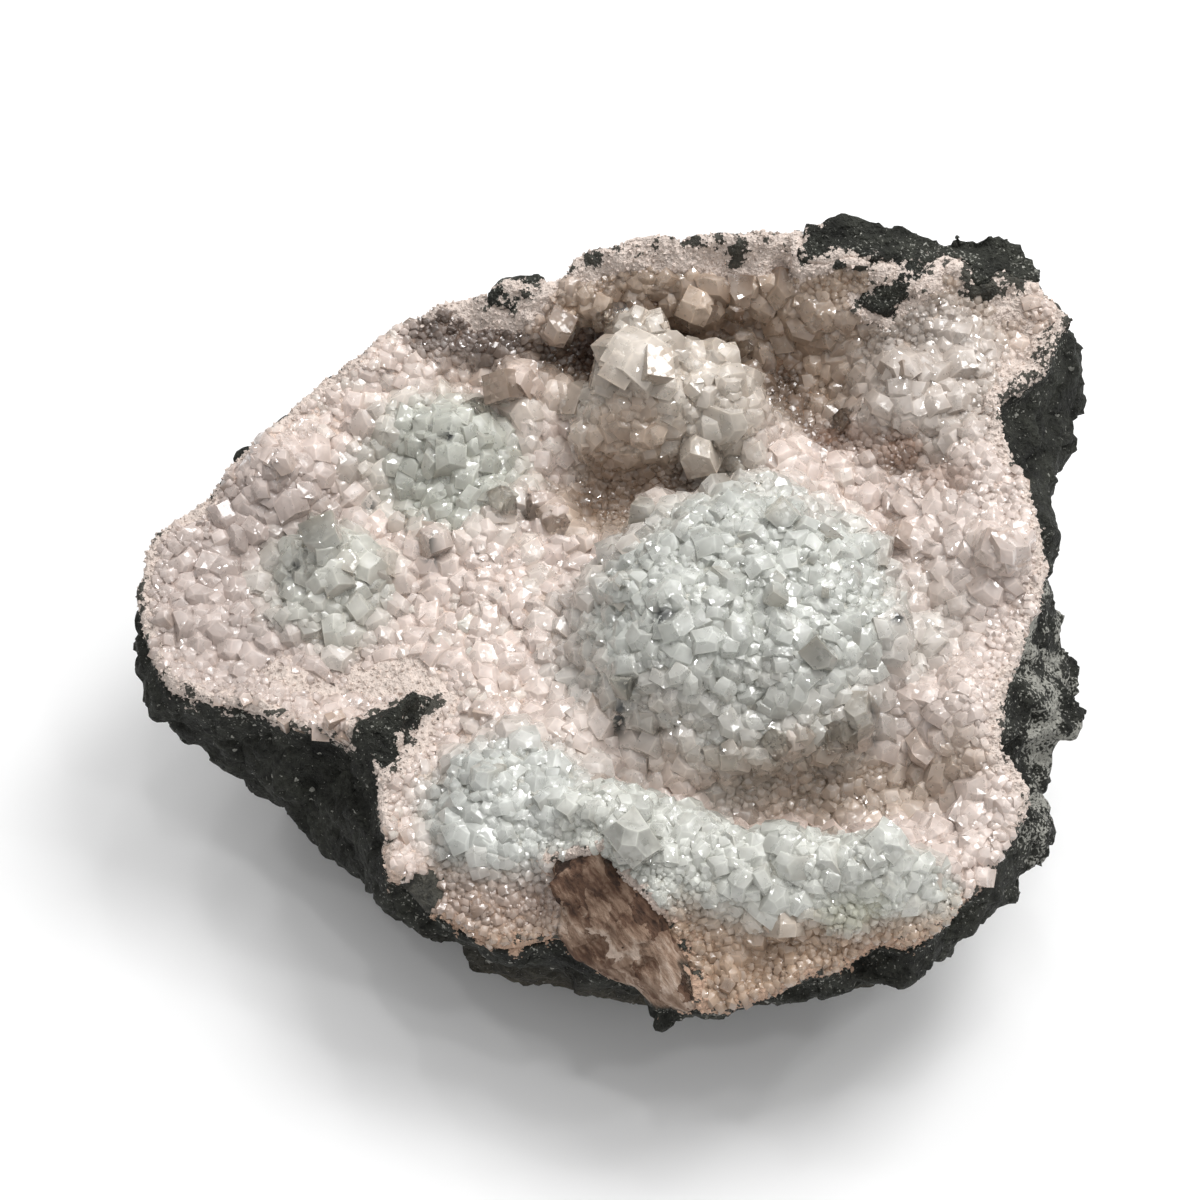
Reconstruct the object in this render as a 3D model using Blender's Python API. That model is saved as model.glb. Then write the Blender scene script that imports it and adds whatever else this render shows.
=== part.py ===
"""Half of an apophyllite geode: a dished basalt matrix and the crystal crust that lines it.

The tables are in millimetres, with +X to the right, -Y towards the open front and +Z up.
The hollow faces up and forward: its rim is low in front and stands high at the back.
Both pieces hang on one empty, which puts the middle of their box above the origin.
"""

import math

import bmesh
import bpy
import numpy as np
from mathutils import Matrix, Vector, noise

MM = 0.001

# Driving dimensions, in millimetres
BED_DROP = 0.7              # upright clearance below the crust, 0.3 across a steep bed
POCKET_GAP = 0.4            # clearance between a basalt block and its pocket in the crust
EDGE_THICKNESS = 5.0        # crust thickness where it is broken off at the rim
CRUST_THICKNESS = 9.0       # crust thickness over the floor of the hollow
WALL_THICKNESS = 17.0       # upright thickness of the crust on the steep back wall
BED_STEEPER = 6.0           # the rock's back wall is narrower than the crust's by this
CRYSTALS_ACROSS = 33        # crystals along each side of the crust's grid
BED_CELLS = 11              # cells along each side of the rock bed's coarser grid
BED_INSET = 0.93            # the bed's grid stops short of the rim by this factor
CENTRE = (15.0, -10.0)      # middle of the hollow, which sees the whole rim
FLOOR_HEIGHT = 90.0         # height of the hollow's floor at CENTRE
FLOOR_RISE_BACK = 0.22      # rise of the floor for each millimetre backward
FLOOR_RISE_RIGHT = 0.03     # rise of the floor for each millimetre to the right
UNFOLD_ROUNDS = 400         # rounds that smooth the grid over the rim's outline
RELAX_ROUNDS = 40           # rounds that even out the grid's cells over domes and walls
RELAX_SHARE = 0.6           # how far a point moves in each of those rounds
RELAX_RAMP = 2              # cells from the rim over which that evening out sets in
JITTER = 0.2                # how far a grid point strays, as a share of its cell
SEED = 41

# Roughness, as noise with a height and a wavelength in millimetres
RIM_CHIPS = (1.6, 9.0)          # the rim's outline
RIM_WAVES = (1.5, 14.0)         # the rim's height
FLANK_LUMPS = (1.3, 11.0)       # the broken flank, in and out
FLANK_STEPS = (1.6, 15.0)       # the flank's rings, up and down
FOOT_LUMPS = (4.0, 21.0)        # the outline of the face that the stone rests on

# Rim of the crust, counter-clockwise from above: x, y, z, width of the slope
# inside it, and how strongly the back ledges lean over
RIM = (
    (-61, -68, 84, 22, 0),
    (-60, -85, 78, 22, 0),
    (-45, -93, 73, 20, 0),
    (-31, -101, 70, 18, 0),
    (-11, -101, 70, 18, 0),
    (11, -114, 68, 16, 0),
    (25, -122, 68, 16, 0),
    (38, -121, 70, 18, 0),
    (60, -113, 74, 20, 0),
    (77, -107, 78, 22, 0),
    (90, -105, 80, 24, 0),
    (103, -95, 84, 26, 0),
    (112, -85, 88, 28, 0),
    (122, -70, 93, 32, 0),
    (112, -54, 98, 34, 0),
    (115, -37, 103, 36, 0),
    (125, -16, 109, 40, 0),
    (132, 2, 115, 42, 0),
    (128, 19, 119, 42, 0),
    (122, 39, 124, 40, 0),
    (120, 52, 128, 38, 0),
    (139, 69, 134, 44, 0),
    (147, 84, 138, 46, 0),
    (133, 95, 142, 40, 0.1),
    (102, 96, 146, 30, 0.7),
    (77, 95, 149, 24, 1),
    (59, 103, 153, 24, 1),
    (31, 102, 153, 22, 1),
    (0, 98, 151, 22, 1),
    (-17, 93, 139, 22, 1),
    (-42, 96, 132, 26, 0.9),
    (-66, 89, 125, 28, 0.5),
    (-93, 66, 117, 40, 0),
    (-121, 36, 105, 36, 0),
    (-137, 20, 100, 34, 0),
    (-139, 0, 95, 34, 0),
    (-134, -13, 92, 30, 0),
    (-128, -25, 90, 24, 0),
    (-117, -29, 90, 20, 0),
    (-105, -31, 90, 20, 0),
    (-90, -38, 90, 20, 0),
    (-75, -43, 91, 20, 0),
    (-65, -48, 90, 20, 0),
    (-62, -55, 87, 20, 0),
)
CORNER_STATION = 1          # the rim station at the grid's front left corner

# Widest outline of the stone, counter-clockwise: x, y, z
GIRTH = (
    (-87, -56, 44), (-68, -72, 42), (-58, -78, 45), (-47, -85, 46), (-29, -94, 46),
    (-12, -99, 46), (6, -106, 47), (28, -115, 50), (51, -113, 52), (74, -109, 52),
    (88, -106, 52), (102, -101, 53), (115, -88, 55), (132, -67, 58), (132, -50, 62),
    (138, -38, 66), (145, -16, 72), (144, 0, 76), (140, 13, 80), (143, 26, 84),
    (143, 47, 88), (155, 68, 94), (159, 82, 100), (160, 96, 108), (151, 108, 113),
    (128, 112, 104), (95, 114, 96), (60, 118, 92), (25, 116, 90), (-10, 112, 88),
    (-42, 106, 86), (-70, 94, 84), (-98, 72, 82), (-126, 45, 80), (-141, 22, 84),
    (-141, 6, 78), (-140, -11, 60), (-138, -17, 52), (-123, -27, 50), (-104, -33, 46),
)

# Outline of the flat broken face that the stone rests on: x, y
FOOT = (
    (-50, -46), (-22, -62), (14, -70), (52, -66), (84, -54), (102, -26), (106, 8),
    (98, 42), (74, 66), (34, 78), (-8, 76), (-46, 64), (-72, 38), (-80, 4), (-70, -24),
)

# Rings of the flank from rim to foot: share of the way from the rim to the girth,
# how far it stands proud, and its dip in height
UPPER_RINGS = ((0.10, 1.8, 2.5), (0.36, 3.6, 2.0), (0.70, 2.6, 0.0), (1.0, 0.0, 0.0))
# Rings below the girth: share of the way to the foot, and how far they bulge
LOWER_RINGS = ((0.35, 7.0), (0.72, 6.0))
LOWER_ROUNDING = 1.1        # above 1, the flank turns under more sharply towards the foot

PATCH = 36.0                # width of the flat patches of broken rock on the flank
PATCH_SLOPE = 0.26          # how steeply they slope
# Planes along which the rock broke: azimuth and tilt in degrees, depth of the bite
FRACTURES = (
    (-158, -34, 4), (-132, -22, 4), (-104, -48, 8), (-76, -34, 5), (-48, -44, 9),
    (-20, -30, 7), (6, -46, 9), (34, -24, 6), (62, -38, 9), (92, -16, 7),
    (118, -40, 9), (144, -22, 6), (170, -46, 8),
)

# Ball-like crystal domes: x, y, half sizes along X and Y, height, and how far the
# ball wraps under in degrees
BALLS = (
    (42, -11, 50, 47, 37, 94),
    (22, 61, 31, 17.5, 30, 106),
    (102, 66, 26, 22, 17, 84),
)
# Low mounds of crystals: x, y, radius, height
MOUNDS = (
    (-47, 55, 20, 11),
    (-82, 12, 17, 14),
    (-98, 41, 12, 9),
    (-26, -64, 23, 16),
    (-19, 72, 14, 9),
    (62, 46, 22, 6),
    (84, -92, 26, 8),
    (108, 4, 16, 7),
    (-8, -46, 13, 7),
    (72, -46, 14, 6),
    (96, -42, 14, 6),
    (-40, 30, 16, 4),
)
# The ridge behind the front rim: its line, half width and height
RIDGE_LINE = ((2, -76), (16, -84), (36, -89), (58, -92), (80, -96))
RIDGE_WIDTH = 17
RIDGE_HEIGHT = 24
# Pits in the floor: x, y, radius, depth
PITS = (
    (3, 42, 16, 8),
    (54, -62, 15, 8),
    (78, -56, 13, 6),
    (72, 66, 15, 6),
    (-62, 40, 14, 5),
    (-70, -8, 15, 4),
    (-104, 26, 9, 4),
)

# Lean of the back wall from its foot (0) to the rim (1): positive away from the hollow
LEAN_STEPS = (0.0, 0.12, 0.26, 0.50, 0.70, 0.90, 1.0)
LEAN = (0.0, 6.0, 6.0, -4.5, 4.0, -5.0, 0.0)

# Crystals of the crust, as shares of their cell's size
POINT_HEIGHTS = (0.22, 0.62)    # least and greatest height of a pointed crystal
RIND_SHARE = 0.70               # share of the rim's cells that stay plain, as sugary rind
TABLET_SHARE = 0.07             # share of the crystals that are flat-topped
TABLET_INSET = 0.26             # how far a flat top stands in from its cell
TABLET_HEIGHT = 0.38            # height of a flat top
APEX_DRIFT = 0.15               # how far a point leans off its cell's middle
ROOM_SPREAD = 1.7               # how strongly crystals shrink where the ground closes in
ROOM_LIMITS = (0.25, 1.15)      # least and greatest size after that

# Single crystals that stand out of the crust: plan place, width, length, lean towards
# an azimuth in degrees, twist in degrees, and the share taken by the pointed end
CRYSTALS = (
    (17, 63, 23, 10, 10, -100, 20, 0.22),
    (-25, 72, 14, 11, 20, -70, 40, 0.60),
    (-31, 36, 9, 8, 30, -60, 15, 0.80),
    (-21, 38, 9, 9, 24, -120, 50, 0.80),
    (-14, 32, 8, 8, 22, -90, 30, 0.80),
    (9, -86, 11, 9, 34, -100, 35, 0.35),
    (44, 90, 8, 8, 55, -95, 25, 0.80),
    (30, 90, 10, 9, 60, -80, 60, 0.80),
    (5, 87, 10, 9, 58, -100, 10, 0.80),
    (-12, 83, 9, 8, 55, -90, 30, 0.80),
    (82, 60, 9, 8, 30, -120, 20, 0.75),
    (118, 0, 12, 7, 16, 160, 30, 0.25),
    (96, 16, 10, 7, 18, 200, 10, 0.25),
    (-82, 12, 11, 9, 12, -90, 25, 0.60),
    (-47, 54, 11, 8, 10, -90, 0, 0.60),
    (-98, 40, 9, 8, 14, -60, 30, 0.70),
    (-32, -33, 9, 9, 26, -80, 20, 0.80),
    (-108, 6, 9, 7, 18, -110, 30, 0.75),
    (78, -88, 9, 7, 30, -80, 45, 0.35),
    (66, -42, 10, 8, 24, -70, 10, 0.75),
    (-50, 20, 8, 8, 20, -90, 30, 0.80),
)
BLOCK_TAPER = 0.8               # size of a block's far side, as a share of the face seen
CRYSTAL_ROOT = 3.0          # how deep a single crystal is rooted in the crust
BLUNT_POINT = 0.4           # a shorter pointed share than this makes a blunt, blocky crystal
BLUNT_NECK = 0.72           # width of a blunt crystal's flat end, as a share of its prism

# Basalt blocks that show beside or through the crust: the corners of the face that is
# seen, and the step to the far side of the block
BLOCKS = {
    "top": (((61, 95, 150), (84, 93, 149), (104, 95, 147), (107, 101, 149), (92, 104, 152),
             (82, 105, 155), (63, 103, 154)), (1, 5, -34)),
    "top_right": (((106, 96, 145), (126, 95, 143), (139, 93, 140), (141, 98, 140),
                   (128, 103, 148), (111, 103, 151)), (0, 5, -34)),
    "window": (((81, 86, 139), (96, 95, 147), (101, 91, 145), (87, 83, 137)), (2, 4, -18)),
    "pebble": (((116, 89, 143), (122, 90, 142), (122, 94, 144), (117, 94, 145)), (0, 3, -14)),
    "chip": (((-37, 92, 132), (-24, 90, 132), (-16, 93, 135), (-19, 98, 139),
              (-33, 98, 136)), (0, 4, -30)),
    "front_left": (((-62, -85, 70), (-47, -87, 69), (-43, -96, 62), (-57, -95, 61)),
                   (2, 16, -4)),
    "spike": (((-54, -37, 95), (-70, -44.5, 91), (-76, -58, 66), (-65, -64, 66),
               (-61, -55, 88)), (7, 12, -8)),
    "layered": (((-3, -90, 92), (15, -101, 85), (27, -123, 66), (11, -116, 62),
                 (-11, -104, 70), (-14, -94, 85)), (2, 24, -6)),
}


def smooth(value):
    """Smooth step of an array that is clamped to 0 and 1."""
    value = np.clip(value, 0.0, 1.0)
    return value * value * (3.0 - 2.0 * value)


def noise_shift(channel):
    """Where a channel's noise is read, far from every other channel's."""
    return Vector((17.3, 5.1, 11.7)) * channel


def ripple(points, roughness, channel):
    """Smooth noise at each point, for a height and a wavelength in mm."""
    height, wavelength = roughness
    flat = np.reshape(points, (-1, 3)) / wavelength
    values = [noise.noise(Vector(point) + noise_shift(channel)) for point in flat]
    return height * np.reshape(values, np.shape(points)[:-1])


def patches(points, channel):
    """Offsets that give each patch of broken rock one flat slope of its own."""
    offsets = []
    for point in np.reshape(points, (-1, 3)) / PATCH:
        spot = Vector(point) + noise_shift(channel)
        middle = noise.voronoi(spot)[1][0]
        slope = noise.cell_vector(middle * SEED) * 2.0 - Vector((1.0, 1.0, 1.0))
        offsets.append(slope.dot(spot - middle) * PATCH * PATCH_SLOPE)
    return np.reshape(offsets, np.shape(points)[:-1])


def closed_samples(stations, count, start=0):
    """Even samples along a closed line of stations, beginning at station start."""
    line = np.roll(np.array(stations, float), -start, axis=0)
    line = np.vstack([line, line[:1]])
    steps = np.linalg.norm(np.diff(line[:, :2], axis=0), axis=1)
    along = np.concatenate([[0.0], np.cumsum(steps)])
    wanted = np.arange(count) * along[-1] / count
    return np.stack([np.interp(wanted, along, column) for column in line.T], axis=1)


def bearing(points):
    """Angle of plan points seen from CENTRE."""
    return np.arctan2(points[..., 1] - CENTRE[1], points[..., 0] - CENTRE[0])


def at_bearing(angle, line, values):
    """Values along a closed line, read where it lies at the given bearing."""
    return np.interp(angle, bearing(line), values, period=2.0 * math.pi)


class Hollow:
    """The shape of the hollow: rim line, crust surface and rock bed as functions of plan."""

    def __init__(self):
        count = 4 * CRYSTALS_ACROSS
        self.rim = closed_samples(RIM, count, CORNER_STATION)
        chips = ripple(self.rim[:, :3], RIM_CHIPS, 1)
        outward = self.rim[:, :2] - np.array(CENTRE)
        outward /= np.linalg.norm(outward, axis=1)[:, None]
        self.rim[:, :2] += outward * chips[:, None]
        self.rim[:, 2] += ripple(self.rim[:, :3], RIM_WAVES, 2)

    def inside_rim(self, plan):
        """Distance inwards from the rim, slope width, rim height and ledge lean."""
        angle = bearing(plan)
        reach = np.linalg.norm(plan - np.array(CENTRE), axis=-1)
        rim_reach = np.linalg.norm(self.rim[:, :2] - np.array(CENTRE), axis=1)
        edge = at_bearing(angle, self.rim, rim_reach)
        width = at_bearing(angle, self.rim, self.rim[:, 3])
        height = at_bearing(angle, self.rim, self.rim[:, 2])
        ledge = at_bearing(angle, self.rim, self.rim[:, 4])
        return np.maximum(edge - reach, 0.0), width, height, ledge

    def base(self, plan, steeper=0.0):
        """Height of the plain dish, and how far up the wall each point is, from 0 to 1.

        Where the wall has ledges, its slope is narrower by the length steeper.
        """
        inwards, width, rim_height, ledge = self.inside_rim(plan)
        floor = FLOOR_HEIGHT + FLOOR_RISE_BACK * (plan[..., 1] - CENTRE[1])
        floor = floor + FLOOR_RISE_RIGHT * (plan[..., 0] - CENTRE[0])
        climb = 1.0 - inwards / (width - steeper * ledge)
        climb = 0.5 * np.clip(climb, 0.0, 1.0) + 0.5 * smooth(climb)
        return floor + (rim_height - floor) * climb, climb, ledge

    def bed(self, plan):
        """Rock surface below the crust: the plain dish, lower by the crust's thickness."""
        height, climb, ledge = self.base(plan, BED_STEEPER)
        extra = (WALL_THICKNESS - CRUST_THICKNESS) * ledge * smooth(3 * climb)
        thickness = CRUST_THICKNESS + extra
        pits = [depth * np.exp(-((plan[..., 0] - x) ** 2 + (plan[..., 1] - y) ** 2) / radius ** 2)
                for x, y, radius, depth in PITS]
        height = height - thickness - np.sum(pits, axis=0)
        return np.concatenate([plan, height[..., None]], axis=-1)

    def crust(self, plan):
        """Crust surface over plan points, with its domes, mounds, ridge, pits and ledges."""
        height, climb, ledge = self.base(plan)
        x, y = plan[..., 0], plan[..., 1]
        lumps = []
        for mound_x, mound_y, radius, rise in MOUNDS:
            away = ((x - mound_x) ** 2 + (y - mound_y) ** 2) / radius ** 2
            lumps.append(rise * np.sqrt(np.clip(1.0 - away, 0.0, 1.0)))
        away = distance_to_line(plan, RIDGE_LINE) / RIDGE_WIDTH
        lumps.append(RIDGE_HEIGHT * np.sqrt(np.clip(1.0 - away ** 2, 0.0, 1.0)))
        height = height + np.sum(np.array(lumps) ** 4, axis=0) ** 0.25
        for pit_x, pit_y, radius, depth in PITS:
            away = ((x - pit_x) ** 2 + (y - pit_y) ** 2) / radius ** 2
            height = height - depth * np.exp(-away)
        moved = plan.copy()
        for ball_x, ball_y, half_x, half_y, rise, wrap in BALLS:
            offset = plan - np.array((ball_x, ball_y))
            share = np.linalg.norm(offset / np.array((half_x, half_y)), axis=-1)
            limit = math.radians(wrap)
            turn = limit * np.minimum(share, 1.0)
            reach = np.sin(turn) / math.sin(limit)
            grow = np.where(share < 1.0, reach / np.maximum(share, 1e-6), 1.0)
            moved = moved + offset * (grow - 1.0)[..., None]
            height = height + rise * (np.cos(turn) - math.cos(limit)) / (1.0 - math.cos(limit))
        outward = plan - np.array(CENTRE)
        outward = outward / np.maximum(np.linalg.norm(outward, axis=-1), 1e-6)[..., None]
        lean = np.interp(climb, LEAN_STEPS, LEAN) * ledge
        moved = moved + outward * lean[..., None]
        return np.concatenate([moved, height[..., None]], axis=-1)


def distance_to_line(plan, line):
    """Least distance from plan points to an open line."""
    line = np.array(line, float)
    nearest = np.full(plan.shape[:-1], np.inf)
    for start, end in zip(line[:-1], line[1:]):
        run = end - start
        share = np.clip(((plan - start) @ run) / (run @ run), 0.0, 1.0)
        gap = np.linalg.norm(plan - start - share[..., None] * run, axis=-1)
        nearest = np.minimum(nearest, gap)
    return nearest


def grid_plan(hollow, cells):
    """A square grid stretched over the rim's outline, ring by ring from CENTRE."""
    steps = np.linspace(-1.0, 1.0, cells + 1)
    a, b = np.meshgrid(steps, steps, indexing="ij")
    ring = np.maximum(np.maximum(np.abs(a), np.abs(b)), 1e-9)
    side_a, side_b = a / ring, b / ring
    front = side_b <= -1.0 + 1e-9
    right = (side_a >= 1.0 - 1e-9) & ~front
    back = (side_b >= 1.0 - 1e-9) & ~front & ~right
    around = np.where(front, (side_a + 1) / 2, 0.0)
    around = np.where(right, 1 + (side_b + 1) / 2, around)
    around = np.where(back, 2 + (1 - side_a) / 2, around)
    around = np.where(~front & ~right & ~back, 3 + (1 - side_b) / 2, around)
    rim = hollow.rim[:, :2]
    index = around * len(rim) / 4
    steps_round = np.arange(len(rim))
    edge = [np.interp(index, steps_round, column, period=len(rim)) for column in rim.T]
    centre = np.array(CENTRE)
    ring = np.where(ring < 1e-6, 0.0, ring)
    return centre + (np.stack(edge, axis=-1) - centre) * ring[..., None]


def unfold(plan, rounds):
    """Smooth a plan grid without folds: each inner point obeys the elliptic grid equation."""
    for _ in range(rounds):
        along_a = (plan[2:, 1:-1] - plan[:-2, 1:-1]) / 2
        along_b = (plan[1:-1, 2:] - plan[1:-1, :-2]) / 2
        stretch_a = np.sum(along_a ** 2, axis=-1)[..., None]
        stretch_b = np.sum(along_b ** 2, axis=-1)[..., None]
        shear = np.sum(along_a * along_b, axis=-1)[..., None]
        corners = plan[2:, 2:] - plan[2:, :-2] - plan[:-2, 2:] + plan[:-2, :-2]
        total = stretch_b * (plan[2:, 1:-1] + plan[:-2, 1:-1])
        total = total + stretch_a * (plan[1:-1, 2:] + plan[1:-1, :-2]) - shear * corners / 2
        plan[1:-1, 1:-1] = total / (2 * (stretch_a + stretch_b))
    return plan


def relax(plan, surface, rounds):
    """Even out a grid's cells: inner points move towards their more distant neighbours."""
    count = len(plan)
    from_edge = np.minimum(np.arange(count), np.arange(count)[::-1])
    from_edge = np.minimum(from_edge[:, None], from_edge[None, :])[1:-1, 1:-1, None]
    share = RELAX_SHARE * smooth(from_edge / RELAX_RAMP)
    for _ in range(rounds):
        shape = surface(plan)
        inner = shape[1:-1, 1:-1]
        pull = 0.0
        weight = 0.0
        for rows, columns in ((slice(2, None), slice(1, -1)), (slice(0, -2), slice(1, -1)),
                              (slice(1, -1), slice(2, None)), (slice(1, -1), slice(0, -2))):
            length = np.linalg.norm(shape[rows, columns] - inner, axis=-1)[..., None]
            pull = pull + length * plan[rows, columns]
            weight = weight + length
        plan[1:-1, 1:-1] = (1.0 - share) * plan[1:-1, 1:-1] + share * pull / weight
    return plan


def loop_indices(cells):
    """Grid positions of the outer vertices, counter-clockwise from the front left corner."""
    front = [(i, 0) for i in range(cells)]
    right = [(cells, j) for j in range(cells)]
    back = [(i, cells) for i in range(cells, 0, -1)]
    left = [(0, j) for j in range(cells, 0, -1)]
    return front + right + back + left


def add_grid(bm, points, upward):
    """Add a grid of quads, and return its faces and its outer loop of vertices."""
    rows, columns = points.shape[:2]
    verts = [[bm.verts.new(point * MM) for point in row] for row in points]
    faces = []
    for i in range(rows - 1):
        for j in range(columns - 1):
            ring = [verts[i][j], verts[i + 1][j], verts[i + 1][j + 1], verts[i][j + 1]]
            faces.append(bm.faces.new(ring if upward else ring[::-1]))
    return faces, [verts[i][j] for i, j in loop_indices(rows - 1)]


def add_loop(bm, points):
    """Add a closed loop of vertices."""
    return [bm.verts.new(point * MM) for point in points]


def join_loops(bm, inner, outer):
    """Bridge two loops that run counter-clockwise, one with a whole multiple of vertices."""
    faces = []
    if len(inner) == len(outer):
        for k in range(len(inner)):
            n = (k + 1) % len(inner)
            faces.append(bm.faces.new([inner[k], outer[k], outer[n], inner[n]]))
        return faces
    many, few = (inner, outer) if len(inner) > len(outer) else (outer, inner)
    ratio = len(many) // len(few)
    turned = many is inner
    for k in range(len(few)):
        fan = [many[(k * ratio + step) % len(many)] for step in range(ratio + 1)]
        near, far = few[k], few[(k + 1) % len(few)]
        half = (ratio + 1) // 2
        for step in range(ratio):
            tip = near if step < half else far
            corner = [tip, fan[step], fan[step + 1]]
            faces.append(bm.faces.new(corner[::-1] if turned else corner))
        corner = [near, fan[half], far]
        faces.append(bm.faces.new(corner[::-1] if turned else corner))
    return faces


def finish_object(name, bm, material):
    """Turn a bmesh into an object of the scene."""
    mesh = bpy.data.meshes.new(name)
    bm.to_mesh(mesh)
    bm.free()
    mesh.materials.append(material)
    piece = bpy.data.objects.new(name, mesh)
    bpy.context.collection.objects.link(piece)
    return piece


def make_material(name, colour, roughness, metallic=0.0):
    """A Principled material with one colour."""
    material = bpy.data.materials.new(name)
    material.use_nodes = True
    shader = material.node_tree.nodes["Principled BSDF"]
    shader.inputs["Base Color"].default_value = (*colour, 1.0)
    shader.inputs["Roughness"].default_value = roughness
    shader.inputs["Metallic"].default_value = metallic
    return material


def bed_points(hollow):
    """The rock bed as a coarse grid that stops short of the rim, and its edge under the rim."""
    plan = unfold(grid_plan(hollow, BED_CELLS), UNFOLD_ROUNDS)
    centre = np.array(CENTRE)
    bed = hollow.bed(centre + (plan - centre) * BED_INSET)
    edge = hollow.rim[:, :3].copy()
    edge[:, 2] -= EDGE_THICKNESS
    return bed, edge


def crush(rings):
    """Flatten the rings behind fracture planes, each of which bites into the rock."""
    points = np.array(rings)
    for azimuth, tilt, bite in FRACTURES:
        azimuth, tilt = math.radians(azimuth), math.radians(tilt)
        normal = np.array((math.cos(azimuth) * math.cos(tilt),
                           math.sin(azimuth) * math.cos(tilt), math.sin(tilt)))
        reach = points @ normal
        excess = reach - (reach.max() - bite)
        points = points - normal * np.maximum(excess, 0.0)[..., None]
    return list(points)


def flank_rings(hollow, edge):
    """Rings of points down the outside, from below the rim to the foot."""
    girth_line = np.array(GIRTH, float)
    angle = bearing(edge)
    girth = np.stack([at_bearing(angle, girth_line, column) for column in girth_line.T], axis=1)
    outward = girth[:, :2] - np.array(CENTRE)
    outward = np.pad(outward / np.linalg.norm(outward, axis=1)[:, None], ((0, 0), (0, 1)))
    rings = []
    for share, proud, dip in UPPER_RINGS:
        ring = edge + (girth - edge) * share + outward * proud
        ring[:, 2] -= dip
        rings.append(ring)
    foot = closed_samples([(x, y, 0.0) for x, y in FOOT], len(edge))
    foot_angle = bearing(foot)
    foot = np.stack([np.interp(angle, foot_angle, column, period=2 * math.pi)
                     for column in foot.T], axis=1)
    for share, bulge in LOWER_RINGS:
        ring = girth + (foot - girth) * share + outward * bulge
        ring[:, 2] = girth[:, 2] * (1.0 - share) ** LOWER_ROUNDING
        rings.append(ring)
    rough = []
    for ring in rings:
        swell = patches(ring, 3) + ripple(ring, FLANK_LUMPS, 4)
        ring = ring + outward * swell[:, None]
        ring[:, 2] += ripple(ring, FLANK_STEPS, 5)
        rough.append(ring)
    foot[:, :2] += ripple(foot, FOOT_LUMPS, 6)[:, None] * outward[:, :2]
    return rough[:1] + crush(rough[1:]), foot[::len(edge) // (4 * BED_CELLS)]


def build_matrix(hollow, material):
    """The basalt: rock bed, flank rings and the flat broken face below."""
    bm = bmesh.new()
    bed, edge = bed_points(hollow)
    bed[..., 2] -= BED_DROP
    edge[:, 2] -= BED_DROP
    _, loop = add_grid(bm, bed, upward=True)
    outer = add_loop(bm, edge)
    join_loops(bm, loop, outer)
    rings, foot = flank_rings(hollow, edge)
    for ring in rings:
        lower = add_loop(bm, ring)
        join_loops(bm, outer, lower)
        outer = lower
    lower = add_loop(bm, foot)
    join_loops(bm, outer, lower)
    bm.faces.new(lower[::-1])
    bmesh.ops.triangulate(bm, faces=bm.faces[:])
    return finish_object("basalt_matrix", bm, material)


def room_above(middle, corners):
    """How freely a crystal can grow: about 1 on open ground, less in a hollow or a cleft."""
    spread = [(corner.co - middle).normalized().dot(corner.normal) for corner in corners]
    least, greatest = ROOM_LIMITS
    return min(max(1.0 + ROOM_SPREAD * sum(spread) / len(spread), least), greatest)


def grow_crystals(bm, faces, rim_faces):
    """Raise every cell of the crust into a pointed or flat-topped crystal."""
    rng = np.random.default_rng(SEED)
    bm.normal_update()
    for face in faces:
        size = math.sqrt(face.calc_area())
        corners = face.verts[:]
        room = room_above(face.calc_center_median(), corners) * size
        kind = rng.random()
        drift = Vector(rng.uniform(-1.0, 1.0, 3)) * APEX_DRIFT * room
        if face in rim_faces and kind < RIND_SHARE:
            continue
        if kind < TABLET_SHARE:
            bmesh.ops.inset_individual(bm, faces=[face], thickness=size * TABLET_INSET,
                                       depth=room * TABLET_HEIGHT, use_even_offset=False)
            continue
        tip = bmesh.ops.poke(bm, faces=[face])["verts"][0]
        tip.co += face_normal(corners) * rng.uniform(*POINT_HEIGHTS) * room + drift


def face_normal(corners):
    """Normal of a ring of four vertices."""
    across = corners[2].co - corners[0].co
    return across.cross(corners[3].co - corners[1].co).normalized()


def build_crust(hollow, material):
    """The crystal crust: crystals above, the rock bed's form below and a broken edge."""
    bm = bmesh.new()
    plan = unfold(grid_plan(hollow, CRYSTALS_ACROSS), UNFOLD_ROUNDS)
    plan = relax(plan, hollow.crust, RELAX_ROUNDS)
    rng = np.random.default_rng(SEED + 1)
    cell = np.linalg.norm(plan[1:, 1:] - plan[:-1, :-1], axis=-1).mean() / math.sqrt(2.0)
    plan[1:-1, 1:-1] += rng.uniform(-JITTER, JITTER, plan[1:-1, 1:-1].shape) * cell
    top = hollow.crust(plan)
    for (i, j), station in zip(loop_indices(CRYSTALS_ACROSS), hollow.rim):
        top[i, j] = station[:3]
    faces, top_loop = add_grid(bm, top, upward=True)
    rim_verts = set(top_loop)
    rim_faces = {face for face in faces if any(vert in rim_verts for vert in face.verts)}
    bed, edge = bed_points(hollow)
    _, bed_loop = add_grid(bm, bed, upward=False)
    edge_loop = add_loop(bm, edge)
    join_loops(bm, edge_loop, bed_loop)
    join_loops(bm, top_loop, edge_loop)
    grow_crystals(bm, faces, rim_faces)
    bmesh.ops.triangulate(bm, faces=bm.faces[:])
    return finish_object("crystal_crust", bm, material)


def hull_object(name, points, material):
    """A convex block around the given points, in millimetres."""
    bm = bmesh.new()
    for point in points:
        bm.verts.new(Vector(point) * MM)
    hull = bmesh.ops.convex_hull(bm, input=bm.verts[:])
    spare = [item for item in hull["geom_interior"] if isinstance(item, bmesh.types.BMVert)]
    bmesh.ops.delete(bm, geom=spare, context="VERTS")
    bmesh.ops.recalc_face_normals(bm, faces=bm.faces[:])
    return finish_object(name, bm, material)


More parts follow.
